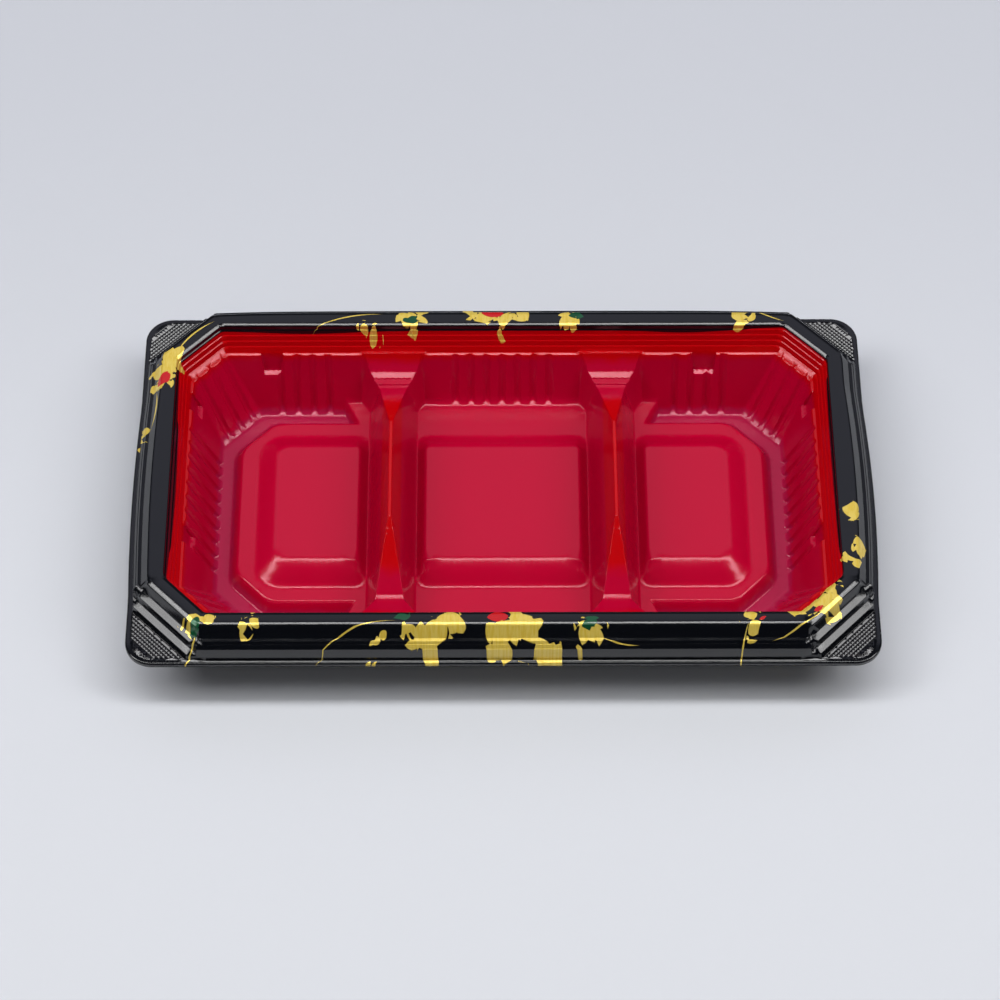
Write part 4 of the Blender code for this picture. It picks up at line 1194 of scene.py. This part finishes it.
class TraySizes(bpy.types.PropertyGroup):
    """Sizes of the finish and of the camera."""

    lining_gloss: size_property("Lining Gloss", "Roughness of the red lining", 0.17, subtype="FACTOR")
    lining_waves: size_property("Lining Waves", "Height of the lining's slow waves in mm", 0.05)
    sheet_gloss: size_property("Sheet Gloss", "Roughness of the black sheet", 0.12, subtype="FACTOR")
    sheet_waves: size_property("Sheet Waves", "Height of the sheet's slow waves in mm", 0.03)
    lens: size_property("Lens", "Focal length on a 36 mm sensor", 113.83, unit="CAMERA")


def colour_property(name, description, default):
    return FloatVectorProperty(
        name=name, description=description, default=default, subtype="COLOR", min=0, max=1
    )


class TrayColours(bpy.types.PropertyGroup):
    """Colours of the tray and the studio."""

    lining: colour_property("Lining", "Red film on the ribs and the ledge", (0.5, 0.0, 0.002))
    # The drawn and deep linings are painted with purple sheen and a little shade, the deep one with more
    # shade, over the film's whitening where drawn
    sheened_drawn_lining: colour_property("Drawn Lining", "Red film drawn down the walls", (0.45, 0.0, 0.026))
    shaded_deep_lining: colour_property("Deep Lining", "Red film drawn into the channels", (0.37, 0.006, 0.048))
    sheet: colour_property("Sheet", "Black sheet", (0.002, 0.0025, 0.004))
    gold: colour_property("Gold", "Bright parts of the leaf print", (0.8, 0.6, 0.12))
    deep_gold: colour_property("Deep Gold", "Streaks in the leaf print", (0.74, 0.52, 0.06))
    seed: colour_property("Seed", "Red marks of the print", (0.5, 0.004, 0.006))
    green: colour_property("Green", "Green marks of the print", (0.004, 0.07, 0.025))
    floor: colour_property("Floor", "Studio floor in front of the tray", (0.66, 0.675, 0.71))
    # The far floor colour is painted darker as shade beyond the tray
    shaded_far_floor: colour_property("Far Floor", "Studio floor beyond the tray", (0.55, 0.565, 0.61))


class TRAY_OT_sheet(bpy.types.Operator):
    """Build the formed black sheet"""

    bl_idname = "tray.sheet"
    bl_label = "Formed Sheet"

    def execute(self, context):
        piece = build_sheet(context.scene)
        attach(piece, "root")
        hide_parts("formed_sheet")
        return {"FINISHED"}


class TRAY_OT_lining(bpy.types.Operator):
    """Build the red lining film"""

    bl_idname = "tray.lining"
    bl_label = "Red Lining"

    def execute(self, context):
        piece = build_lining(context.scene)
        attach(piece, "root")
        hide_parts("red_film")
        return {"FINISHED"}


class TRAY_OT_stage(bpy.types.Operator):
    """Set up the floor, the lamps, the world and the camera"""

    bl_idname = "tray.stage"
    bl_label = "Studio"

    def execute(self, context):
        build_stage(context.scene)
        return {"FINISHED"}


class TRAY_PT_tools(bpy.types.Panel):
    """Lists the tray's pieces and the studio"""

    bl_label = "Lunch Tray"
    bl_idname = "TRAY_PT_tools"
    bl_space_type = "VIEW_3D"
    bl_region_type = "UI"
    bl_category = "Lunch Tray"

    def draw(self, context):
        for step in STEPS:
            self.layout.operator(step.bl_idname)
        for group in (context.scene.tray_sizes, context.scene.tray_colours):
            for name in group.__annotations__:
                self.layout.prop(group, name)


STEPS = (TRAY_OT_sheet, TRAY_OT_lining, TRAY_OT_stage)
CLASSES = (TraySizes, TrayColours, *STEPS, TRAY_PT_tools)


def add_camera(scene):
    data = bpy.data.cameras.new("photo_camera")
    data.sensor_width = SENSOR
    data.lens = scene.tray_sizes.lens
    camera = bpy.data.objects.new("photo_camera", data)
    camera.location = Vector(CAMERA_PLACE) * MM
    turn = Euler((math.radians(90 - CAMERA_PITCH), 0, -math.radians(CAMERA_YAW))).to_matrix()
    roll = Euler((0, 0, math.radians(CAMERA_ROLL))).to_matrix()
    camera.rotation_euler = (turn @ roll).to_euler()
    scene.collection.objects.link(camera)
    scene.camera = camera


def add_floor(scene):
    """A plain pale floor, painted a little darker beyond the tray as shade."""
    corners = [(x * FLOOR_REACH, y * FLOOR_REACH, 0) for x, y in ((-1, -1), (1, -1), (1, 1), (-1, 1))]
    mesh = bpy.data.meshes.new("studio_floor")
    mesh.from_pydata(corners, [], [(0, 1, 2, 3)])
    floor = bpy.data.objects.new("studio_floor", mesh)
    scene.collection.objects.link(floor)
    material, tree, shader = new_material("floor_paper")
    away = tree.axes(tree.add("TexCoord").outputs["Object"])["Y"]
    near, beyond = tuple(scene.tray_colours.floor), tuple(scene.tray_colours.shaded_far_floor)
    paper = tree.mix(tree.span(away, *FLOOR_SHADE_FADE), near, beyond)
    tree.feed(shader.inputs["Base Color"], paper)
    shader.inputs["Roughness"].default_value = FLOOR_ROUGHNESS
    mesh.materials.append(material)


def add_lamp(scene, name, place, target, span, watts):
    """A rectangular lamp that faces a target."""
    data = bpy.data.lights.new(name, "AREA")
    data.shape = "RECTANGLE"
    data.size, data.size_y = span
    data.energy = watts
    lamp = bpy.data.objects.new(name, data)
    lamp.location = place
    lamp.rotation_euler = (Vector(place) - Vector(target)).to_track_quat("Z", "Y").to_euler()
    scene.collection.objects.link(lamp)
    return lamp


def add_room(scene):
    """A dim room with one broad pale panel high up beyond the tray."""
    scene.world = bpy.data.worlds.new("studio_world")
    scene.world.use_nodes = True
    tree = Nodes(scene.world.node_tree)
    axes = tree.axes(tree.add("TexCoord").outputs["Generated"])
    high = tree.ramp(axes["Y"], PANEL_HEIGHTS)
    wide = tree.ramp(tree.math("ABSOLUTE", axes["X"]), PANEL_WIDTHS)
    level = tree.math("MULTIPLY", high, wide)
    level = tree.math("MULTIPLY_ADD", level, PANEL_LEVEL, ROOM_LEVEL)
    background = tree.nodes["Background"]
    tree.feed(background.inputs["Strength"], level)
    background.inputs["Color"].default_value = ROOM_COLOUR


def build_stage(scene):
    """Floor, room, lamps and camera."""
    scene.view_settings.view_transform = "Standard"
    add_camera(scene)
    add_floor(scene)
    add_room(scene)
    x, y, _ = STRIP_PLACE
    add_lamp(scene, "strip", STRIP_PLACE, (x, y, 0), STRIP_SPAN, STRIP_WATTS)
    x, y, z = SIDE_PLACE
    add_lamp(scene, "left_box", (-x, y, z), (0, 0, 0), SIDE_SPAN, SIDE_WATTS)
    add_lamp(scene, "right_box", (x, y, z), (0, 0, 0), SIDE_SPAN, SIDE_WATTS)
    fill = add_lamp(scene, "fill", FILL_PLACE, (0, 0, 0), FILL_SPAN, FILL_WATTS)
    fill.visible_glossy = False


def register():
    for group in CLASSES:
        bpy.utils.register_class(group)
    bpy.types.Scene.tray_sizes = PointerProperty(type=TraySizes)
    bpy.types.Scene.tray_colours = PointerProperty(type=TrayColours)


def unregister():
    del bpy.types.Scene.tray_sizes
    del bpy.types.Scene.tray_colours
    for group in reversed(CLASSES):
        bpy.utils.unregister_class(group)


def main():
    register()
    bpy.ops.tray.sheet()
    bpy.ops.tray.lining()
    bpy.ops.tray.stage()


if __name__ == "__main__":
    main()
